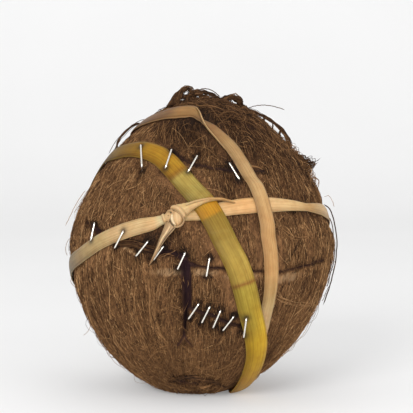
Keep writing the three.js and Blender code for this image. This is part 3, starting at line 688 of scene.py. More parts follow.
def husk_material():
    """The felted ground under the loose fibres: fine upright grain, and painted shade in the cracks."""
    n = Nodes("husk_ground", 0.9, 0.08)
    stretch = n.add("ShaderNodeMapping")
    stretch.inputs["Scale"].default_value = (1, 1, 0.16)
    n.link(n.add("ShaderNodeTexCoord").outputs["Object"], stretch.inputs["Vector"])
    grain = n.noise(2400, 4, stretch.outputs["Vector"], 0.7)
    streak = n.noise(520, 3, stretch.outputs["Vector"])
    rough = n.math("ADD", n.math("MULTIPLY", grain, 1.2), n.math("MULTIPLY", streak, 0.4))
    # The coat's tone, with its painted shade and light, over the grain.
    tone = n.math("ADD", n.math("SUBTRACT", rough, 0.4), n.value("shade"))
    # Inside the cracks and hollows the colour is painted shade, fuller where a crack is deeper.
    crack_shade_colour = n.ramp(n.noise(240, 3), ((0.3, (40, 26, 30)), (0.7, (58, 39, 40))))
    felt = n.mix("MIX", n.math("MULTIPLY", n.value("bare"), 0.5), n.ramp(tone, COIR), linear((130, 108, 82)))
    n.colour(n.mix("MIX", n.value("painted_crack_shade"), felt, crack_shade_colour))
    n.bump(n.math("MULTIPLY", grain, n.math("SUBTRACT", 1.0, n.value("painted_crack_shade"))), 0.0005, 0.7)
    return n.material


def fibre_material(name):
    """Coir fibre: each strand has its own tone."""
    n = Nodes(name, 0.7, 0.1)
    wander = n.math("MULTIPLY", n.math("SUBTRACT", n.noise(800, 3), 0.5), 0.5)
    n.colour(n.ramp(n.math("ADD", n.value("tint"), wander), COIR))
    return n.material


def leaf_material(name, stops, edge, dusk, gloss, side=None):
    """Leaf: its colour changes along the strip, veins run along it, and its cut edges are pale.

    It has painted shade round the staples' holes. dusk is how far the lower side is darkened, also as painted
    shade, and gloss how shiny it is. side is (colour, start, end): a colour that the upper side takes between
    two shares of the length.
    """
    n = Nodes(name, 0.5, gloss)
    along, across = n.value("along"), n.value("across")
    place = n.add("ShaderNodeCombineXYZ")
    turn = n.math("MULTIPLY", along, 2 * math.pi)
    n.link(n.math("MULTIPLY", n.math("COSINE", turn), 2.6), place.inputs["X"])
    n.link(n.math("MULTIPLY", across, 11), place.inputs["Y"])
    n.link(n.math("MULTIPLY", n.math("SINE", turn), 2.6), place.inputs["Z"])
    vein = n.noise(1.0, 4, place.outputs["Vector"])
    wander = n.math("MULTIPLY", n.math("SUBTRACT", n.noise(160, 3), 0.5), 0.003)
    colour = n.ramp(n.math("ADD", along, wander), stops)
    if side:
        tint, start, end = side
        inner = ((start + 0.04, WHITE), (end - 0.03, WHITE))
        reach_along = n.ramp(along, ((start, BLACK), *inner, (end, BLACK)))
        upper = n.math("MULTIPLY_ADD", across, -0.5)
        reach_across = n.ramp(upper, ((0.5, BLACK), (0.9, (225, 225, 225))))
        colour = n.mix("MIX", n.mix("MULTIPLY", 1.0, reach_along, reach_across), colour, linear(tint))
    streak = n.ramp(vein, ((0.34, (190, 181, 158)), (0.58, WHITE)))
    fleck = n.ramp(n.noise(330, 5), ((0.35, (222, 208, 190)), (0.58, WHITE)))
    blotch = n.ramp(n.noise(70, 3), ((0.3, (232, 214, 190)), (0.55, WHITE)))
    for factor, layer in ((0.6, streak), (0.4, fleck), (0.5, blotch)):
        colour = n.mix("MULTIPLY", factor, colour, layer)
    # Painted shade: the lower side of the strip grows darker, by dusk.
    low = n.ramp(n.math("MULTIPLY_ADD", across, 0.5), ((0.55, WHITE), (1, (176, 168, 156))))
    colour = n.mix("MULTIPLY", dusk, colour, low)
    rim = n.ramp(n.math("ABSOLUTE", across), ((0.86, BLACK), (0.98, (120, 120, 120))))
    colour = n.mix("MIX", rim, colour, linear(edge))
    # Painted shade round the staples' holes, in dark brown.
    n.colour(n.mix("MIX", n.value("painted_hole_shade"), colour, linear((30, 21, 14))))
    n.bump(vein, 0.0002, 0.3)
    n.set("Subsurface Weight", 0.1)
    n.set("Subsurface Scale", 0.002)
    return n.material


def wire_material():
    n = Nodes("bright_wire", 0.25, metallic=1.0)
    scratch = n.noise(2500, 3)
    n.colour(n.ramp(scratch, ((0.35, (236, 230, 216)), (0.65, (255, 252, 244)))))
    n.bump(scratch, 0.00003, 0.4)
    return n.material


# ------------------------------------------------------------------ the husk


def husk_height(d):
    """Height of the felted ground: coat ridges, pressed flat beside strips, rough all over."""
    free = smoothstep(beside_strips(d), PRESSED_MARGIN, PRESSED_MARGIN + PRESSED_RAMP)
    coat = coat_height(d) - HUSK_SINK
    height = np.minimum(coat, PRESSED_HEIGHT) * (1 - free) + coat * free
    place = d * NUT_RADIUS
    smooth = 1 - 0.8 * bare(d)
    streaks = noise(place * (1, 1, 0.18), 0.9) * 0.22 + noise(place * (1, 1, 0.25), 2.2, 7.3) * 0.1
    height = height + (streaks + noise(place, 6, 3.1) * 0.1) * (0.3 + 0.7 * free) * smooth
    edge, depth = crack(d)
    height = height - depth * smoothstep(-edge, -0.12, 0.4)
    height = height - HOLE_DIP * np.exp(-((from_holes(d) / HOLE_DIP_REACH) ** 2))
    for lon, lat in EYES:
        away = np.arccos(np.clip(d @ direction(lon, lat), -1, 1)) * reach(d)
        height = height - EYE_DEPTH * smoothstep(-away, -EYE_RADIUS, -1.5)
    height = height + UNDER_STRIPS * smoothstep(-beside_strips(d), 0.6, 1.6)
    # The second value is the painted shade in the cracks and hollows.
    return height, smoothstep(-edge, -0.22, 0.22) * (0.72 + 0.28 * smoothstep(depth, 3.5, 4.5))


def husk():
    turn = 2 * math.pi * (np.arange(NUT_COLUMNS) / NUT_COLUMNS)
    fine = np.linspace(-90, 90, 2000)
    closeness = 0.35 + 0.65 * np.cos(np.radians(fine))
    for middle, half in FINE_BANDS:
        closeness = closeness + 1.6 * (1 - smoothstep(np.abs(fine - middle), half, half + 3))
    share = np.cumsum(closeness) / closeness.sum()
    lat = np.interp(np.linspace(0, 1, NUT_ROWS + 2)[1:-1], share, fine)
    lon, lat = np.meshgrid(np.degrees(turn - FRONT_CROWDING * np.sin(turn)), lat)
    d = direction(lon, lat).reshape(-1, 3)
    height, painted_crack_shade = husk_height(d)
    poles = over(direction(np.zeros(2), np.array((-90.0, 90.0))), np.array((-0.4, -0.4)))
    values = {"painted_crack_shade": painted_crack_shade, "shade": shade(d), "bare": bare(d)}
    values = {key: np.append(value, (0, 0)) for key, value in values.items()}
    points = np.concatenate((over(d, height), poles))
    return make_mesh("husk", points, ball_faces(NUT_ROWS, NUT_COLUMNS), husk_material(), values)


# ------------------------------------------------------------------ fibres


def spread(count, rng):
    """Directions spread evenly over the nut, then crowded somewhat to the front."""
    i = np.arange(count) + rng.uniform(-0.4, 0.4, count)
    z = np.clip(1 - 2 * (i + 0.5) / count, -1, 1)
    turn = np.mod(i * math.pi * (3 - math.sqrt(5)), 2 * math.pi)
    lon = turn - FIBRE_CROWDING * np.sin(turn)
    across = np.sqrt(1 - z * z)
    return np.stack((across * np.sin(lon), -across * np.cos(lon), z), axis=-1)


def headings(d, rng, stray):
    """Which way the fibre runs at each place: down the nut, swaying, with some strays."""
    down = unit(np.cross(np.cross(d, (0, 0, 1)), d) * -1 + 1e-9)
    side = np.cross(d, down)
    place = d * NUT_RADIUS
    sway = 0.22 * noise(place, 22, 1.7) + 0.12 * noise(place, 8, 4.9) + rng.normal(0, 0.1, len(d))
    tangle = stray * (1 + 2.2 * np.clip(noise(place, 19, 9.2), 0, 1))
    crossing = rng.uniform(0, 1, len(d)) < tangle
    sway = sway + np.where(crossing, rng.normal(0, 0.8, len(d)), 0)
    return down * np.cos(sway)[:, None] + side * np.sin(sway)[:, None]


def walk(root, heading, length, bend, steps, limits=(-0.5, 0.5)):
    """Directions along gently curved lines on the nut. limits are shares of length: starts and ends."""
    side = np.cross(root, heading)
    start, end = (np.broadcast_to(limit, len(root))[:, None] for limit in limits)
    t = (start + (end - start) * np.linspace(0, 1, steps))[..., None]
    line = (root[:, None] * NUT_RADIUS + heading[:, None] * (length[:, None, None] * t)
            + side[:, None] * (bend[:, None, None] * (t**2 * 4 - 0.4)))
    return unit(line)


def stop_at_cracks(root, heading, length, bend, rng):
    """The limits that keep each fibre on one side of the cracks. A few fibres are let across."""
    start, end = np.full(len(root), -0.5), np.full(len(root), 0.5)
    edge, _ = crack(root)
    near = np.flatnonzero((edge < length / 2 + 0.5) & (rng.uniform(0, 1, len(root)) > LET_ACROSS))
    checks = 25
    t = np.linspace(-0.5, 0.5, checks)
    for part in np.array_split(near, max(1, len(near) // 4000)):
        edge, _ = crack(walk(root[part], heading[part], length[part], bend[part], checks))
        inside = edge < 0.12
        first = np.where(inside.any(axis=1), inside.argmax(axis=1), checks)
        last = np.where(inside.any(axis=1), checks - 1 - inside[:, ::-1].argmax(axis=1), -1)
        before = first >= checks - 1 - last
        end[part] = np.where(before & (first < checks), t[np.clip(first - 1, 0, checks - 1)], 0.5)
        start[part] = np.where(before | (last < 0), -0.5, t[np.clip(last + 1, 0, checks - 1)])
    return start, end


# Layers of the coat: fibres, steps along each, length, radius, height, share of strays, tone and its spread.
COAT = {
    "felt_low": (27800, 3, (1.9, 4.7), (0.09, 0.14), (-0.1, 0.1), 0.1, (0.46, 0.2)),
    "felt_high": (27800, 3, (1.9, 4.7), (0.08, 0.13), (0.0, 0.3), 0.16, (0.48, 0.2)),
    "fibres_low": (10500, 4, (4, 8.5), (0.06, 0.1), (0.0, 0.4), 0.2, (0.5, 0.18)),
    "fibres_high": (8500, 5, (5, 14), (0.045, 0.085), (0.1, 0.8), 0.3, (0.54, 0.18)),
}


def fibre_layer(name, rng, count, steps, lengths, radii, heights, stray, tones):
    root = spread(count, rng)
    heading = headings(root, rng, stray)
    length = rng.uniform(*lengths, count)
    bend = rng.normal(0, 0.05, count) * length
    limits = stop_at_cracks(root, heading, length, bend, rng)
    lines = walk(root, heading, length, bend, steps, limits)
    clear = beside_strips(lines)
    kept = (limits[1] - limits[0]) * length > SHORTEST_FIBRE
    kept &= (clear.max(axis=1) > -0.6) & (rng.uniform(0, 1, count) > 0.93 * bare(root))
    root, lines, clear = (a[kept] for a in (root, lines, clear))
    count = len(root)
    free = smoothstep(clear, 0.2, 4) * smoothstep(from_crowns(lines), 0.4, 2.2)
    free = free * smoothstep(from_knot(lines), 0.3, 3)
    arch = np.sin(np.linspace(0.1, 0.9, steps) * math.pi)
    rise = rng.uniform(*heights, count)[:, None] * arch + rng.normal(0, 0.06, (count, steps))
    coat = coat_height(lines)
    pressed = np.minimum(coat, PRESSED_HEIGHT)
    height = (pressed + (coat - pressed) * smoothstep(clear, PRESSED_MARGIN, PRESSED_MARGIN + PRESSED_RAMP)
              - FIBRE_SINK + rise * (0.12 + 0.88 * free))
    height[:, (0, -1)] -= 0.2
    height = np.where(clear < 0.4, np.minimum(height, 0.05), height)
    radius = rng.uniform(*radii, count)
    spread_tone = tones[1] * np.interp(np.degrees(np.arcsin(root[:, 2])), *CONTRAST)
    # Each fibre takes the coat's tone where it grows, with its painted shade and light.
    tint = tones[0] + rng.normal(0, 1, count) * spread_tone + shade(root)
    return strand_piece(name, over(lines, height, 0.12), radius, np.clip(tint, 0, 1))


def coat():
    rng = np.random.default_rng(SEED)
    return [fibre_layer(name, rng, *layer) for name, layer in COAT.items()]


def smooth_line(points, count):
    """A Catmull-Rom line through points, in that many steps."""
    points = np.asarray(points, float)
    padded = np.concatenate((2 * points[:1] - points[1:2], points, 2 * points[-1:] - points[-2:-1]))
    t = np.linspace(0, len(points) - 1, count)
    i = np.minimum(t.astype(int), len(points) - 2)
    f = (t - i)[:, None]
    a, b, c, d = (padded[i + k] for k in range(4))
    return 0.5 * (2 * b + (c - a) * f + (2 * a - 5 * b + 4 * c - d) * f**2 + (3 * b - a - 3 * c + d) * f**3)


def bundle(line, radius, strands, rng, spread_out, steps):
    """Thin fibres wound round a line, fraying towards its end by spread_out."""
    centre = smooth_line(line, steps)
    tangent = unit(np.gradient(centre, axis=0))
    out = unit(centre - CENTRE)
    side = unit(np.cross(tangent, out))
    up = np.cross(side, tangent)
    t = np.linspace(0, 1, steps)
    paths = []
    for _ in range(strands):
        angle = rng.uniform(0, 2 * math.pi) + BUNDLE_TWIST * t * rng.uniform(0.6, 1.4)
        far = radius * math.sqrt(rng.uniform(0, 1)) * (1 + spread_out * t**2 * rng.uniform(0, 3))
        wobble = 1 + 0.3 * np.sin(t * rng.uniform(4, 12) + rng.uniform(0, 6)) + 0.25 * np.sin(t * 32)
        shift = (side * np.cos(angle)[:, None] + up * np.sin(angle)[:, None]) * (far * wobble)[:, None]
        paths.append(centre + shift)
    return np.array(paths)


def bundle_piece(name, paths, thickness, rng, tone, spread_tone):
    radius = rng.uniform(thickness * 0.7, thickness * 1.2, len(paths))
    return strand_piece(name, paths, radius, np.clip(rng.normal(tone, spread_tone, len(paths)), 0, 1))


def wound(line, radius, fibres, rng, fray, steps):
    """A bundle along (longitude, latitude, height) points."""
    lon, lat, height = np.array(line, float).T
    line = over(direction(lon, lat), height, 0.3)
    least, more = fibres
    return bundle(line, radius, int(least + more * radius), rng, fray, steps)


def locks():
    rng = np.random.default_rng(SEED + 1)
    made = []
    for name, (radius, line) in LOCKS.items():
        fray = FRAYED if name.startswith("frayed") else BOUND
        paths = wound(line, radius, LOCK_FIBRES, rng, fray, 16)
        made.append(bundle_piece(name, paths, 0.15, rng, 0.24, 0.14))
    return made


def tuft_lines():
    """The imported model's tuft strands: the same draws, in the same order."""
    state = TUFT_SEED

    def draw(low, high):
        nonlocal state
        state = (state * 1664525 + 1013904223) % 4294967296
        return low + (high - low) * state / 4294967296

    top = np.array((0.0, 0.0, 1.0))
    for i in range(TUFT_COUNT):
        lon = 360 * (i + draw(0, 1)) / TUFT_COUNT
        root = direction(lon, 90 - draw(*TUFT_COLATITUDE))
        away = unit(-np.cross(np.cross(root - top, root), root))
        turn = math.radians(draw(-75, 75))
        away = away * math.cos(turn) + np.cross(root, away) * math.sin(turn)
        length, rise, radius, bend = draw(*TUFT_LENGTH), draw(*TUFT_RISE), draw(*TUFT_RADIUS), draw(-4, 4)
        side = np.cross(away, root)
        t = np.linspace(0, 1, 9)
        arch = np.sin(math.pi * t)
        line = unit(root * NUT_RADIUS + np.outer(length * t, away) + np.outer(bend * arch, side))
        if beside_strips(line).min() > 1.2:
            yield over(line, -ROOT_DEPTH + (rise + ROOT_DEPTH) * arch), radius


# Matted strands that fill the crown's loops: radius, then (longitude, latitude, height) along each.
CROWN_STRANDS = (
    (0.9, ((-82.8, 74.5, -0.3), (-81.7, 76.8, 0.5), (-80.2, 79.2, 1.6), (-78.2, 81.4, 3.1),
        (-75.8, 82.9, 3.7))),
    (0.8, ((-81.7, 76.5, -1), (-80.3, 78.8, -0.1), (-78.8, 80.5, 0.8), (-77, 81.9, 1.4))),
    (0.7, ((-79.9, 78.8, -2), (-78.7, 80.2, -1.4), (-75.9, 82.2, -1.8), (-72.4, 83.7, -2.2),
        (-66.6, 85.2, -2.9))),
    (0.7, ((-70.7, 84.5, 0.8), (-73.1, 83.7, 0.1), (-76.7, 82, 0.5), (-79, 80.3, 0.5))),
    (1.5, ((-70.3, 84.7, 1.2), (-68.7, 85, 0), (-68.5, 84.9, -1.2), (-69.9, 84.4, -2.7))),
    (1, ((-70.3, 84.7, 0.6), (-63, 86.1, 0.2), (-48.4, 87.3, -0.6), (-26, 88, -1.8), (20.1, 88, -2.6),
        (58.3, 86.4, -2.4))),
    (0.9, ((72, 83.9, -1.5), (76.7, 81.9, -0.2), (79, 80.3, 0.8), (80.5, 78.8, 1.4), (81.7, 77.1, 1.4),
        (82.4, 75.6, 0.6), (82.3, 75.4, -0.8), (81.5, 76.7, -1.7), (80.5, 78.2, -2))),
    (0.9, ((74.1, 83.1, -1.8), (77.6, 81.2, -1), (79.1, 79.9, -1), (79.7, 79.1, -1.9), (80.3, 78.2, -2.8))),
    (0.25, ((86, 69, 1.2), (87, 68, 0.4), (88, 66.6, -0.8))),
    (0.35, ((87, 65, 1.6), (87, 64.6, 0.6), (88, 64, -0.8))),
    (0.2, ((87, 61, 2.4), (87, 60, 1.2), (88, 59, -0.8))),
    (0.3, ((87, 56.5, 2.7), (88, 56, 1.4), (88, 55, -0.8))),
)


def crown_tuft():
    rng = np.random.default_rng(SEED + 2)
    paths = [bundle(line, radius * 0.9, 16, rng, 0.5, 10) for line, radius in tuft_lines()]
    paths += [wound(line, radius, CROWN_FIBRES, rng, BOUND, 10) for radius, line in CROWN_STRANDS]
    return bundle_piece("tuft", np.concatenate(paths), 0.14, rng, 0.28, 0.14)


def loose_hairs():
    """Single hairs that arc off the coat, so that the outline is never bare."""
    rng = np.random.default_rng(SEED + 3)
    lon, lat, half, fringe = FRINGE
    ragged = direction(lon + rng.uniform(-half, half, fringe), lat + rng.uniform(-half, half, fringe))
    root = np.concatenate((spread(HAIR_COUNT, rng), ragged))
    count = len(root)
    heading = headings(root, rng, 0.5)
    length = np.where(np.arange(count) < HAIR_COUNT, rng.uniform(9, 30, count), rng.uniform(3, 8, count))
    lines = walk(root, heading, length, rng.normal(0, 0.15, count) * length, 12)
    t = np.linspace(0, 1, 12)
    arch = np.sin(t * math.pi)
    rise = rng.uniform(0.6, 2.6, count)[:, None] * arch**0.8 - 0.6 * (1 - arch)
    clear = np.minimum(beside_strips(lines), from_knot(lines)).min(axis=1) > 1.5
    clear &= from_crowns(lines).min(axis=1) > 2
    paths = over(lines, coat_height(lines) + rise, 0.5)[clear]
    return bundle_piece("hairs", paths, 0.075, rng, 0.52, 0.16)


# Single hairs that stand off the outline: radius, tone, longitude, then (latitude, height) along each. A
# latitude over 90 is past the top.
OUTLINE_HAIRS = (
    (0.17, 0.25, 90, ((72.8, 0.2), (70.2, 3), (67.1, 5.6), (63.4, 7.7), (59.3, 9.7))),
    (0.26, 0.16, 90, ((18.2, 0.6), (15.3, 2.3), (9.5, 2.6), (1.7, 2.5), (-5.9, 2.7), (-12.8, 2.7),
        (-18.9, 2.8), (-26.7, 3.1))),
    (0.2, 0.2, 90, ((14, 0.2), (9, 1.6), (3.5, 1.2), (-1.8, 1.6), (-7.8, 1.9), (-14.4, 1.6), (-18.3, 1.7),
        (-17.5, 0.1))),
    (0.13, 0.3, 90, ((-18.1, 2.5), (-20.9, 2.1), (-23.5, 2.2), (-25, 1.9))),
    (0.1, 0.7, 90, ((21.2, 1.9), (20.9, 3.9), (18.1, 4.5), (15.7, 4.4))),
    (0.12, 0.75, -90, ((24.6, 1.3), (20.5, 2), (14.7, 2.6), (7.5, 3.6))),
    (0.1, 0.6, -90, ((19.3, 0.4), (16.7, 1.1), (13.7, 1.8))),
    (0.1, 0.6, -90, ((3.5, -0.1), (0.8, 1.6), (-2.5, 2.2), (-5.1, 1.6))),
    (0.09, 0.65, -90, ((-36.3, -0.4), (-38.5, 3), (-38.7, 5.5))),
    (0.1, 0.6, -90, ((-20.2, 0.2), (-16.4, 1.8), (-13.8, 0.2))),
    (0.14, 0.22, -90, ((43.4, 1.5), (49.6, 2.7), (56.2, 2.9), (62, 2), (66, 0))),
    (0.11, 0.3, -90, ((45.2, 0.8), (52.1, 1.6), (58.5, 1.7), (63.4, 0.5))),
    (0.2, 0.2, -90, ((85.4, 1), (87.6, 1.5), (90.2, 1.6), (92.9, 1), (95.8, -0.5))),
)


# Long strands that lie on the coat: tone, fibres, how far they spread, then (longitude, latitude) along each.
LONG_STRANDS = (
    (0.78, 5, 0.9, ((-21.1, -6.2), (-21.5, -14.9), (-22.1, -23.9), (-20.5, -32.6), (-16.4, -39.2))),
    (0.74, 4, 1.2, ((-26.7, -10.8), (-28.3, -18.2), (-28.7, -27.5), (-27.3, -37.3))),
    (0.74, 4, 1, ((-18.4, -14.7), (-20.2, -22.3), (-18.8, -30.1), (-17.7, -36.7))),
    (0.7, 5, 1.4, ((-61.1, -14.4), (-64.2, -22.4), (-67.5, -35), (-67.6, -43.7))),
    (0.78, 3, 0.5, ((-21.4, 18.5), (-21.8, 23.9), (-20.5, 29.4))),
    (0.9, 3, 0.6, ((35.7, -17.7), (40.7, -19.9), (47.6, -21.8), (55, -23.1), (64.8, -24.2))),
    (0.85, 2, 0.5, ((35.8, -14.7), (39.5, -18), (45.3, -20.3))),
    (0.72, 4, 1.3, ((35.7, 12.4), (40.5, 8.7), (45.5, 6.3), (53.2, 6.2), (61.8, 7.7))),
    (0.1, 5, 0.4, ((41.9, -1.2), (44.3, 1.9), (47.4, 5.8))),
    (0.7, 3, 1, ((-36, 64), (-31.8, 58.8), (-28, 53.2))),
    (0.64, 3, 1.1, ((-30.4, 64.1), (-25.9, 58.2), (-22, 52.1))),
    (0.66, 3, 1.2, ((-46, 64), (-40.5, 59.3), (-36.2, 54.8))),
    (0.62, 3, 1.2, ((-24.1, 62.9), (-19.1, 58.2), (-14.6, 53.3))),
    (0.7, 4, 1.3, ((-33.5, -48.4), (-26.8, -43.3), (-21.2, -40.8), (-17.4, -41.1))),
    (0.62, 3, 0.6, ((21.7, 43.2), (28.1, 40), (34.2, 38.9))),
    (0.7, 3, 0.9, ((30.2, 10.5), (34.1, 15), (39.4, 17.9))),
    (0.7, 7, 0.5, ((-17.5, -67.1), (-13.1, -68.5), (-8.1, -69.4))),
    (0.68, 6, 0.5, ((1.4, -67.1), (7.9, -65.7), (14.3, -65.5))),
    (0.55, 3, 0.25, ((-9.9, 3), (-11.5, 2), (-13.9, 1.1), (-16.4, 0.1))),
    (0.5, 2, 0.25, ((-10.6, 0.6), (-12.7, 1.4), (-15.2, 1.7))),
    (0.3, 10, 0.6, ((-47, 7.4), (-38, 5.4), (-31, 5), (-24, 4.2), (-17, 2.4))),
    (0.42, 5, 0.5, ((-43, 6.2), (-35, 4.6), (-28, 4.6), (-21, 3))),
)


def long_strands():
    rng = np.random.default_rng(SEED + 6)
    steps = 14
    t = np.linspace(0, 1, steps)
    paths, tones = [], []
    for tone, count, spread_out, line in LONG_STRANDS:
        middle = smooth_line(direction(*np.array(line, float).T) * NUT_RADIUS, steps)
        for _ in range(count):
            shift = rng.normal(0, spread_out, 3)
            sway = np.outer(np.sin(t * rng.uniform(2, 7)), rng.normal(0, 0.3, 3))
            d = unit(middle + (shift + sway))
            rise = rng.uniform(0.1, 0.5) * np.sin(math.pi * t) - 0.1
            paths.append(over(d, coat_height(d) + rise))
            tones.append(tone + rng.normal(0, 0.05))
    return strand_piece("long_strands", np.array(paths), rng.uniform(0.08, 0.13, len(paths)), tones)


def outline_hairs():
    rng = np.random.default_rng(SEED + 4)
    radii, tones, sides, lines = zip(*OUTLINE_HAIRS)
    paths = []
    for lon, line in zip(sides, lines):
        lat, height = np.array(line, float).T
        path = smooth_line(over(direction(lon, lat), height), 24)
        paths.append(path + rng.normal(0, 0.05, path.shape))
    return strand_piece("outline_hairs", np.array(paths), radii, tones, sides=5)


def crown_mat():
    """Dark matted strands that lie across the top, round the eyes."""
    rng = np.random.default_rng(SEED + 5)
    count = CROWN_MAT_COUNT
    lon = rng.uniform(-180, 180, count)
    lat = 90 - 24 * np.sqrt(rng.uniform(0.01, 1, count))
    root = direction(lon, lat)
    down = headings(root, rng, 0)
    side = np.cross(root, down)
    turn = rng.normal(math.pi / 2, 0.7, count)[:, None]
    heading = down * np.cos(turn) + side * np.sin(turn)
    lines = walk(root, heading, rng.uniform(5, 15, count), rng.normal(0, 1.6, count), 8)
    clear = beside_strips(lines).min(axis=1) > 0.8
    rise = rng.uniform(0, 1.6, count)[:, None] * np.sin(np.linspace(0, 1, 8) * math.pi) - 0.4
    paths = over(lines, coat_height(lines) + rise)[clear]
    return bundle_piece("crown_mat", paths, 0.12, rng, 0.3, 0.18)


# ------------------------------------------------------------------ leaf strips


def strip_piece(name, strip, material, cuts=((0, 0, 0),)):
    """A closed strip of leaf with a slightly domed section and thin edges. cuts narrow its two sides."""
    share = np.arange(STRIP_STATIONS) / STRIP_STATIONS
    middle, width = strip.at(share)
    ahead, _ = strip.at(share + 0.5 / STRIP_STATIONS)
    behind, _ = strip.at(share - 0.5 / STRIP_STATIONS)
    side = unit(np.cross(ahead - behind, middle))
    half = width / 2 * (1 + 0.02 * noise(middle * NUT_RADIUS, 5, 8.8))
    cut_share, upper, lower = np.array(cuts, float).T
    v = np.linspace(-1, 1, STRIP_COLUMNS)
    half = np.where(v < 0, (half - np.interp(share, cut_share, upper))[:, None],
                    (half - np.interp(share, cut_share, lower))[:, None])
    d = unit(middle[:, None] * reach(middle)[:, None, None] + side[:, None] * (half * v)[..., None])
    ripple = 0.1 * noise(middle * NUT_RADIUS, 7, 5.5)[:, None] * v
    top = GAP + strip.raised(d) + STRIP_THICKNESS - 0.28 * v**4 + ripple
    bottom = top - 0.5 + 0.18 * np.abs(v) ** 3
    outer = over(d, top, STRIP_FLOOR_GAP)
    inner = over(d, bottom, STRIP_FLOOR_GAP + 0.45)
    points = np.concatenate((outer, inner[:, ::-1]), axis=1).reshape(-1, 3)
    faces = grid_faces(STRIP_STATIONS, 2 * STRIP_COLUMNS, closed_rows=True, closed_columns=True)
    along = np.repeat(share, 2 * STRIP_COLUMNS)[faces]
    along[-2 * STRIP_COLUMNS :, 2:] = 1  # where the strip closes
    across = np.tile(np.concatenate((v, v[::-1])), STRIP_STATIONS)
    both_sides = np.concatenate((d, d[:, ::-1]), axis=1)
    # Painted shade round the staples' holes, on both faces of the strip.
    painted_hole_shade = np.exp(-((from_holes(both_sides) / LEAF_HOLE_SHADE_REACH) ** 2)).ravel()
    return make_mesh(name, points, faces[:, ::-1], material,
                     {"along": along[:, ::-1], "across": across, "painted_hole_shade": painted_hole_shade})


def blade_piece(name, line, material, shares, cup):
    """A loose blade of leaf through (longitude, latitude, height, width). Its two ends have colour shares."""
    line = np.array(line, float)
    middle = smooth_line(over(direction(line[:, 0], line[:, 1]), line[:, 2]), BLADE_STEPS)
    half = smooth_line(line[:, 3:4], BLADE_STEPS)[:, 0] / 2
    out = unit(middle - CENTRE)
    side = unit(np.cross(unit(np.gradient(middle, axis=0)), out))
    v = np.linspace(-1, 1, BLADE_COLUMNS)
    lift = cup * (1 - np.abs(v) ** 1.5)
    top = middle[:, None] + side[:, None] * (half[:, None] * v)[..., None] + out[:, None] * lift[:, None]
    bottom = top - out[:, None] * BLADE_THICKNESS
    points = np.concatenate((top, bottom[:, ::-1]), axis=1).reshape(-1, 3)
    around = 2 * BLADE_COLUMNS
    last = (BLADE_STEPS - 1) * around
    quads = grid_faces(BLADE_STEPS, around, closed_columns=True)
    ends = [(0, k, k + 1) for k in range(1, around - 1)]
    ends += [(last, last + k + 1, last + k) for k in range(1, around - 1)]
    along = np.repeat(shares[0] + (shares[1] - shares[0]) * np.linspace(0, 1, BLADE_STEPS), around)
    across = np.tile(np.concatenate((v, v[::-1])), BLADE_STEPS)
    return make_mesh(name, points, np.concatenate((quads[:, (0, 2, 1)], quads[:, (0, 3, 2)], ends)), material,
                     {"along": along, "across": across})


# The tie grows darker towards its start at the left outline: painted shade.
TIE_COLOURS = (
    (0, (108, 94, 68)), (0.03, (122, 103, 70)), (0.045, (134, 110, 72)), (0.06, (149, 129, 88)),
    (0.09, (161, 138, 93)), (0.12, (176, 146, 104)), (0.15, (174, 147, 104)), (0.168, (180, 145, 98)),
    (0.178, (176, 163, 124)), (0.2, (190, 162, 114)), (0.215, (176, 144, 94)), (0.25, (194, 159, 112)),
    (0.275, (198, 153, 100)), (0.315, (196, 163, 117)), (0.345, (199, 168, 120)),
    (0.375, (175, 138, 85)), (0.39, (174, 141, 92)), (0.42, (187, 156, 112)), (0.6, (170, 138, 96)),
    (1, (108, 94, 68)),
)
# The dark stop at 0.063 is painted shade beside the twist's crease.
TAN_COLOURS = (
    (0, (108, 77, 46)), (0.018, (114, 82, 48)), (0.03, (142, 106, 60)), (0.05, (134, 101, 58)),
    (0.063, (108, 82, 53)), (0.08, (127, 92, 57)), (0.1, (150, 120, 80)), (0.14, (156, 126, 86)),
    (0.17, (170, 138, 94)), (0.21, (174, 138, 92)), (0.27, (176, 137, 88)), (0.3, (163, 138, 94)),
    (0.33, (174, 145, 104)), (0.5, (162, 132, 92)), (0.7, (145, 112, 76)), (1, (108, 77, 46)),
)
GREEN_COLOURS = (
    (0, (94, 72, 34)), (0.05, (116, 87, 22)), (0.085, (126, 92, 22)), (0.1, (144, 106, 24)),
    (0.155, (143, 106, 27)), (0.1625, (116, 78, 24)), (0.167, (151, 131, 65)), (0.2, (136, 119, 60)),
    (0.2135, (134, 112, 53)), (0.2165, (160, 115, 26)), (0.2315, (162, 117, 28)),
    (0.2345, (123, 99, 35)), (0.26, (130, 106, 42)), (0.295, (154, 130, 58)), (0.3175, (150, 126, 56)),
    (0.3205, (120, 80, 34)), (0.3235, (143, 124, 48)), (0.375, (146, 124, 42)), (0.4, (174, 143, 36)),
    (0.43, (170, 136, 30)), (0.47, (162, 120, 32)), (0.55, (146, 114, 42)), (0.75, (128, 102, 42)),
    (1, (94, 72, 34)),
)
# The amber that the green strip's upper side takes, and between which shares of its length.
AMBER_SIDE = ((190, 152, 40), 0.34, 0.44)
KNOT_COLOURS = (
    (0, (88, 69, 49)), (0.25, (140, 115, 85)), (0.5, (169, 138, 99)), (0.75, (186, 154, 110)),
    (1, (206, 186, 154)),
)
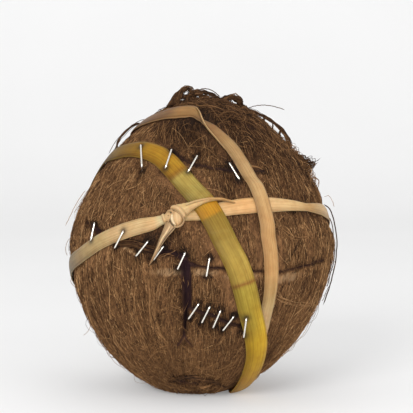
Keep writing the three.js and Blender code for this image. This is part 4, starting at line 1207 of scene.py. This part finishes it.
# The knot's blades: colour at both ends, cup, then (longitude, latitude, height, width) along each. A colour
# is a share along the tie's colours for the strand's blades, and along the knot's own for the others.
BLADES = {
    "knot_strand": ((0.2, 0.26), 0.6, ((-11.4, 19.9, 2.2, 3), (-7.8, 19.3, 2.5, 5), (-4.2, 20.8, 2.8, 3.3),
        (-0.4, 22.2, 3.1, 1.9), (3.8, 23.2, 3.1, 1.2), (8.2, 23.6, 2.6, 1), (11.9, 23.2, 1.9, 0.9),
        (14.7, 22.5, 1.4, 0.5))),
    "knot_tail": ((0.42, 0.3), 0.6, ((-12.4, 13.7, 1.8, 5), (-13.2, 11.5, 2, 4), (-14.5, 9, 2.1, 2.9),
        (-15.6, 6.7, 2.1, 2.2), (-16.6, 4.4, 2, 1.6), (-17.8, 1.7, 1.9, 1.2), (-19.3, -1.3, 1.6, 0.8),
        (-20.5, -3.2, 1.3, 0.4))),
    "knot_tail_fold": ((0.85, 0.8), 0.3, ((-12.6, 12.3, 2.8, 0.7), (-13.8, 9.7, 2.9, 0.8),
        (-15.3, 7.2, 2.8, 0.7), (-16.6, 4.3, 2.6, 0.5), (-18, 1.6, 2.3, 0.3))),
    "knot_tail_edge": ((0.05, 0), 0.2, ((-11.1, 11.8, 2.3, 0.3), (-12.8, 9.5, 2.4, 0.45),
        (-14.3, 7.4, 2.4, 0.45), (-15.7, 5, 2.2, 0.4), (-17, 2.7, 2, 0.3))),
    "knot_strand_fold": ((0.15, 0.17), 0.3, ((-6.7, 20.9, 3.4, 0.8), (-4.2, 21.9, 3.7, 0.9),
        (-0.9, 22.7, 3.9, 0.9), (2.5, 23.4, 3.8, 0.8), (5.1, 23.9, 3.3, 0.5))),
    "knot_strand_tip": ((0.375, 0.39), 0.3, ((3, 23.2, 3.6, 0.9), (6, 23.5, 3.4, 1), (9.1, 23.5, 3, 0.9),
        (11.8, 22.9, 2.4, 0.7), (14.4, 22.2, 1.7, 0.3))),
    "knot_rim": ((0.35, 0.4), 0.35, ((-13, 19.2, 2.6, 0.4), (-11.5, 18.7, 3.3, 0.5), (-9.8, 17.9, 3.8, 0.6),
        (-8.3, 16.8, 3.6, 0.6), (-7.2, 15.4, 3.1, 0.7), (-7.2, 14.1, 2.8, 0.7), (-8.1, 12.8, 2.8, 0.8),
        (-9.8, 12.1, 2.8, 0.8), (-10.9, 12.6, 2.9, 0.6))),
    # A blade in the knot's palest colour: painted highlight.
    "knot_crescent_highlight": ((1, 0.9), 0.4, ((-11.5, 18.1, 3.2, 0.5), (-12.1, 16.5, 3.3, 0.9),
        (-11.9, 15, 3.5, 1.1), (-11.1, 13.6, 3.5, 1), (-10.2, 12.7, 3, 0.5))),
    # A blade in the knot's darkest colour in the gap beside it: painted shadow.
    "knot_crease_shadow": ((0, 0.05), 0.2, ((-12.5, 18.2, 3, 0.3), (-13.1, 16.6, 3.1, 0.5), (-12.9, 15, 3.1, 0.5),
        (-12.1, 13.4, 3, 0.5), (-11.2, 12.4, 2.8, 0.3))),
    "knot_wrap_top": ((0.62, 0.66), 0.5, ((-13.2, 19.5, 2.3, 1.2), (-12.2, 19.9, 3.2, 1.7),
        (-10.6, 19.7, 3.7, 1.9), (-9, 18.8, 3.8, 1.9), (-7.8, 17.5, 3.6, 1.7), (-7, 16.1, 3, 1.2))),
    "knot_curl_outer": ((0.45, 0.5), 0.4, ((-15.2, 17.7, 1.6, 0.6), (-13.9, 18.4, 2.8, 1),
        (-12.5, 18.4, 3.4, 1), (-11.9, 17.6, 3.5, 0.9), (-12.6, 16.3, 3.3, 0.9), (-13.3, 14.7, 2.9, 0.8),
        (-13.6, 13.8, 2.4, 0.5))),
    "knot_curl_inner": ((0.7, 0.75), 0.4, ((-14.8, 15.6, 1.9, 0.6), (-14.1, 16.6, 2.9, 0.9),
        (-13.2, 17.1, 3.3, 0.9), (-13, 16.4, 3.3, 0.8), (-13.6, 15.3, 3.1, 0.8), (-14.2, 14.4, 2.4, 0.5))),
    "knot_cuff": ((0.8, 0.75), 0.4, ((-17, 17.3, 1.3, 1.2), (-15.9, 16.1, 2, 1.5), (-15.4, 14.9, 2.1, 1.5),
        (-15.4, 14, 1.3, 1.1))),
}
UPPER_LOBE = ((-10.6, 18.8), (4.6, 3.4, 3.2), -15, 1.6)
LOBE_COLOUR_SHARE = 0.6
# The tan strip's twist: share of the length, and how much narrower the upper and the lower side are there.
TWIST_CUTS = (
    (0.03, 0, 0), (0.04, 0, 0.8), (0.046, 0, 1.2), (0.0485, 0.9, 1.3), (0.0535, 1.8, 1.1), (0.06, 1.7, 0.5),
    (0.066, 1.05, 0.5), (0.072, 0.4, 0.5), (0.08, 0, 0.2), (0.09, 0, 0),
)
TWIST_HEM = (
    (-11.4, 72.2, 1.3, 0.2), (-5.4, 68.3, 1.9, 0.5), (-1.9, 63.8, 2, 0.6), (2.1, 59.4, 1.7, 0.55),
    (7.3, 54.9, 1.4, 0.5), (13.5, 48, 1.2, 0.2),
)


def knot_lobe(name, lobe, material):
    """One lobe of the knot: a grooved ellipsoid of folded leaf."""
    (lon, lat), size, tilt, height = lobe
    out = direction(lon, lat)
    up = unit(np.array((0, 0, 1)) - out * out[2])
    side = np.cross(up, out)
    turn = math.radians(tilt)
    up, side = up * math.cos(turn) + side * math.sin(turn), side * math.cos(turn) - up * math.sin(turn)
    round_it = np.arange(LOBE_COLUMNS) / LOBE_COLUMNS * 2 * math.pi
    down_it = (np.arange(LOBE_ROWS) + 0.5) / LOBE_ROWS * math.pi
    round_it, down_it = np.meshgrid(round_it, down_it)
    ring = np.sin(down_it)
    ball = np.stack((ring * np.cos(round_it), np.cos(down_it), ring * np.sin(round_it)), axis=-1)
    fold = 1 - 0.07 * np.abs(np.sin(ball[..., 0] * 4.2 + 1.2 * np.sin(3 * ball[..., 1]))) ** 0.5
    ball = ball * fold[..., None] * (np.array(size) / 2)
    points = over(out, np.array(height)) + ball @ np.array((side, up, out))
    poles = np.array((points[0].mean(axis=0), points[-1].mean(axis=0)))
    points = np.concatenate((points.reshape(-1, 3), poles))
    along = LOBE_COLOUR_SHARE + 0.02 * np.append(down_it.ravel(), (0, math.pi)) / math.pi
    across = np.append(ball[..., 0].ravel() / size[0] * 1.5, (0, 0))
    faces = ball_faces(LOBE_ROWS, LOBE_COLUMNS)
    return make_mesh(name, points, faces, material, {"along": along, "across": across})


def strips():
    pale = leaf_material("pale_leaf", TIE_COLOURS, (205, 180, 130), 0.6, 0.3)
    brown = leaf_material("tan_leaf", TAN_COLOURS, (186, 152, 106), 0.8, 0.18)
    yellow = leaf_material("green_leaf", GREEN_COLOURS, (150, 128, 58), 0.9, 0.12, AMBER_SIDE)
    folded = leaf_material("knot_leaf", KNOT_COLOURS, (176, 156, 124), 0.6, 0.3)
    made = {
        "tie_leaf": strip_piece("tie_leaf", tie, pale),
        "tan_leaf": strip_piece("tan_leaf", tan, brown, TWIST_CUTS),
        "green_leaf": strip_piece("green_leaf", green, yellow),
        "twist_hem": blade_piece("twist_hem", TWIST_HEM, brown, (0.33, 0.33), 0.15),
    }
    for name, (shares, cup, line) in BLADES.items():
        made[name] = blade_piece(name, line, pale if "strand" in name else folded, shares, cup)
    for number, lobe in enumerate((*KNOT_LOBES, UPPER_LOBE), 1):
        name = f"knot_lobe_{number}"
        made[name] = knot_lobe(name, lobe, folded)
    return made


# ------------------------------------------------------------------ staples


def staple_line(staple):
    """The wire's centreline, from the end of one leg to the end of the other."""
    (a, b), out, leg = staple_frame(staple)
    inwards = unit(b - a)
    corner = np.linspace(0, math.pi / 2, 6)
    bend = 0.8

    def half(end, inward):
        centre = end - out * bend + inward * bend
        arc = [centre - inward * bend * math.cos(c) + out * bend * math.sin(c) for c in corner]
        return [end - out * (leg - 0.2), *arc]

    return np.array(half(a, inwards) + half(b, -inwards)[::-1])


def staple_piece(number, staple, material):
    line = staple_line(staple)
    spans = [np.linspace(p, q, 4, endpoint=False) for p, q in zip(line[:-1], line[1:])]
    fine = np.concatenate([*spans, line[-1:]])
    points, faces, _ = tubes(fine[None], WIRE_RADIUS, sides=10)
    piece = make_mesh(f"staple_wire_{number:02d}", points, faces, material, {})
    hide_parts(f"staple_{number:02d}")


# ------------------------------------------------------------------ stage


# The stage, in metres.
FLOOR_TONE = (215, 215, 215)
WALL_TONE = (220, 220, 220)
FLOOR_GLOW = 0.25
FLOOR_HALF = 2.5
WALL_HEIGHT = 2.6
BEND_START, BEND_RADIUS, BEND_STEPS = 0.9, 0.7, 24
WORLD_STRENGTH = 0.82
# Lights: place, what it points at, size, power.
LIGHTS = {
    "key": ((-0.5, -1.1, 0.6), (0, 0, 0.06), 0.6, 10),
    "fill": ((0.8, -0.9, 0.4), (0, 0, 0.06), 0.8, 4),
    "low": ((0.1, -1.1, 0.06), (0, 0, 0.06), 0.5, 8),
    "backdrop": ((0, 0.5, 1.5), (0, 1.6, 0.4), 0.8, 1.6),
}


def area_light(name, place, target, size, power):
    data = bpy.data.lights.new(name, "AREA")
    data.shape = "DISK"
    data.size = size
    data.energy = power
    light = bpy.data.objects.new(name, data)
    bpy.context.scene.collection.objects.link(light)
    light.location = place
    light.rotation_euler = (Vector(target) - Vector(place)).to_track_quat("-Z", "Y").to_euler()


def stage():
    """A pale floor that bends up into a wall behind, under soft light."""
    profile = [(-FLOOR_HALF, 0, 0), (0, 0, 0)]
    for step in range(BEND_STEPS + 1):
        turn = math.pi / 2 * step / BEND_STEPS
        y, z = BEND_START + BEND_RADIUS * math.sin(turn), BEND_RADIUS * (1 - math.cos(turn))
        profile.append((y, z, step / BEND_STEPS))
    profile.append((BEND_START + BEND_RADIUS, WALL_HEIGHT, 1))
    points = [(x, y, z) for y, z, _ in profile for x in (-FLOOR_HALF, FLOOR_HALF)]
    faces = [(2 * i, 2 * i + 1, 2 * i + 3, 2 * i + 2) for i in range(len(profile) - 1)]
    mesh = bpy.data.meshes.new("floor")
    mesh.from_pydata(points, [], faces)
    wall = [share for *_, share in profile for _ in range(2)]
    mesh.attributes.new("wall", "FLOAT", "POINT").data.foreach_set("value", wall)
    mesh.polygons.foreach_set("use_smooth", np.full(len(faces), True))
    floor = bpy.data.objects.new("floor", mesh)
    bpy.context.scene.collection.objects.link(floor)
    n = Nodes("pale_floor", 0.95, 0.0)
    grain = n.ramp(n.noise(3, 2), ((0.3, (252, 252, 252)), (0.7, WHITE)))
    tone = n.mix("MULTIPLY", 1.0, n.ramp(n.value("wall"), ((0, FLOOR_TONE), (1, WALL_TONE))), grain)
    n.colour(tone)
    n.link(tone, n.shader.inputs["Emission Color"])
    n.set("Emission Strength", FLOOR_GLOW)
    mesh.materials.append(n.material)
    world = bpy.data.worlds.new("studio")
    world.use_nodes = True
    background = world.node_tree.nodes["Background"]
    background.inputs["Color"].default_value = (1, 1, 1, 1)
    background.inputs["Strength"].default_value = WORLD_STRENGTH
    bpy.context.scene.world = world
    for name, light in LIGHTS.items():
        area_light(name, *light)
    bpy.context.scene.view_settings.view_transform = "Standard"


CAMERA_ELEVATION = 4
CAMERA_DISTANCE = 600
CAMERA_TARGET = (4.2, 0, 76.8)
PIXEL_AT_TARGET = 0.42
IMAGE_SIDE = 413
SENSOR = 36


def camera():
    data = bpy.data.cameras.new("camera")
    data.sensor_width = SENSOR
    data.lens = SENSOR * CAMERA_DISTANCE / (PIXEL_AT_TARGET * IMAGE_SIDE)
    data.clip_start, data.clip_end = 0.01, 20
    cam = bpy.data.objects.new("camera", data)
    tilt = math.radians(CAMERA_ELEVATION)
    back = np.array((0, -math.cos(tilt), math.sin(tilt)))
    cam.location = (np.array(CAMERA_TARGET) + back * CAMERA_DISTANCE) * MM
    cam.rotation_euler = (math.pi / 2 - tilt, 0, 0)
    bpy.context.scene.collection.objects.link(cam)
    bpy.context.scene.camera = cam


# ------------------------------------------------------------------ put together

camera()
stage()
ground = husk()
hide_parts("coconut")
for piece in (*coat(), *locks(), crown_tuft(), loose_hairs(), outline_hairs(), long_strands(), crown_mat()):
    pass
leaves = strips()
for name, node, slot in (("tie_leaf", "tie_strip", "pale_leaf"), ("tan_leaf", "tan_strip", "tan_leaf"),
                         ("green_leaf", "green_strip", "green_leaf")):
    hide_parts(node)
wire = wire_material()
for index, staple in enumerate(STAPLES, 1):
    staple_piece(index, staple, wire)
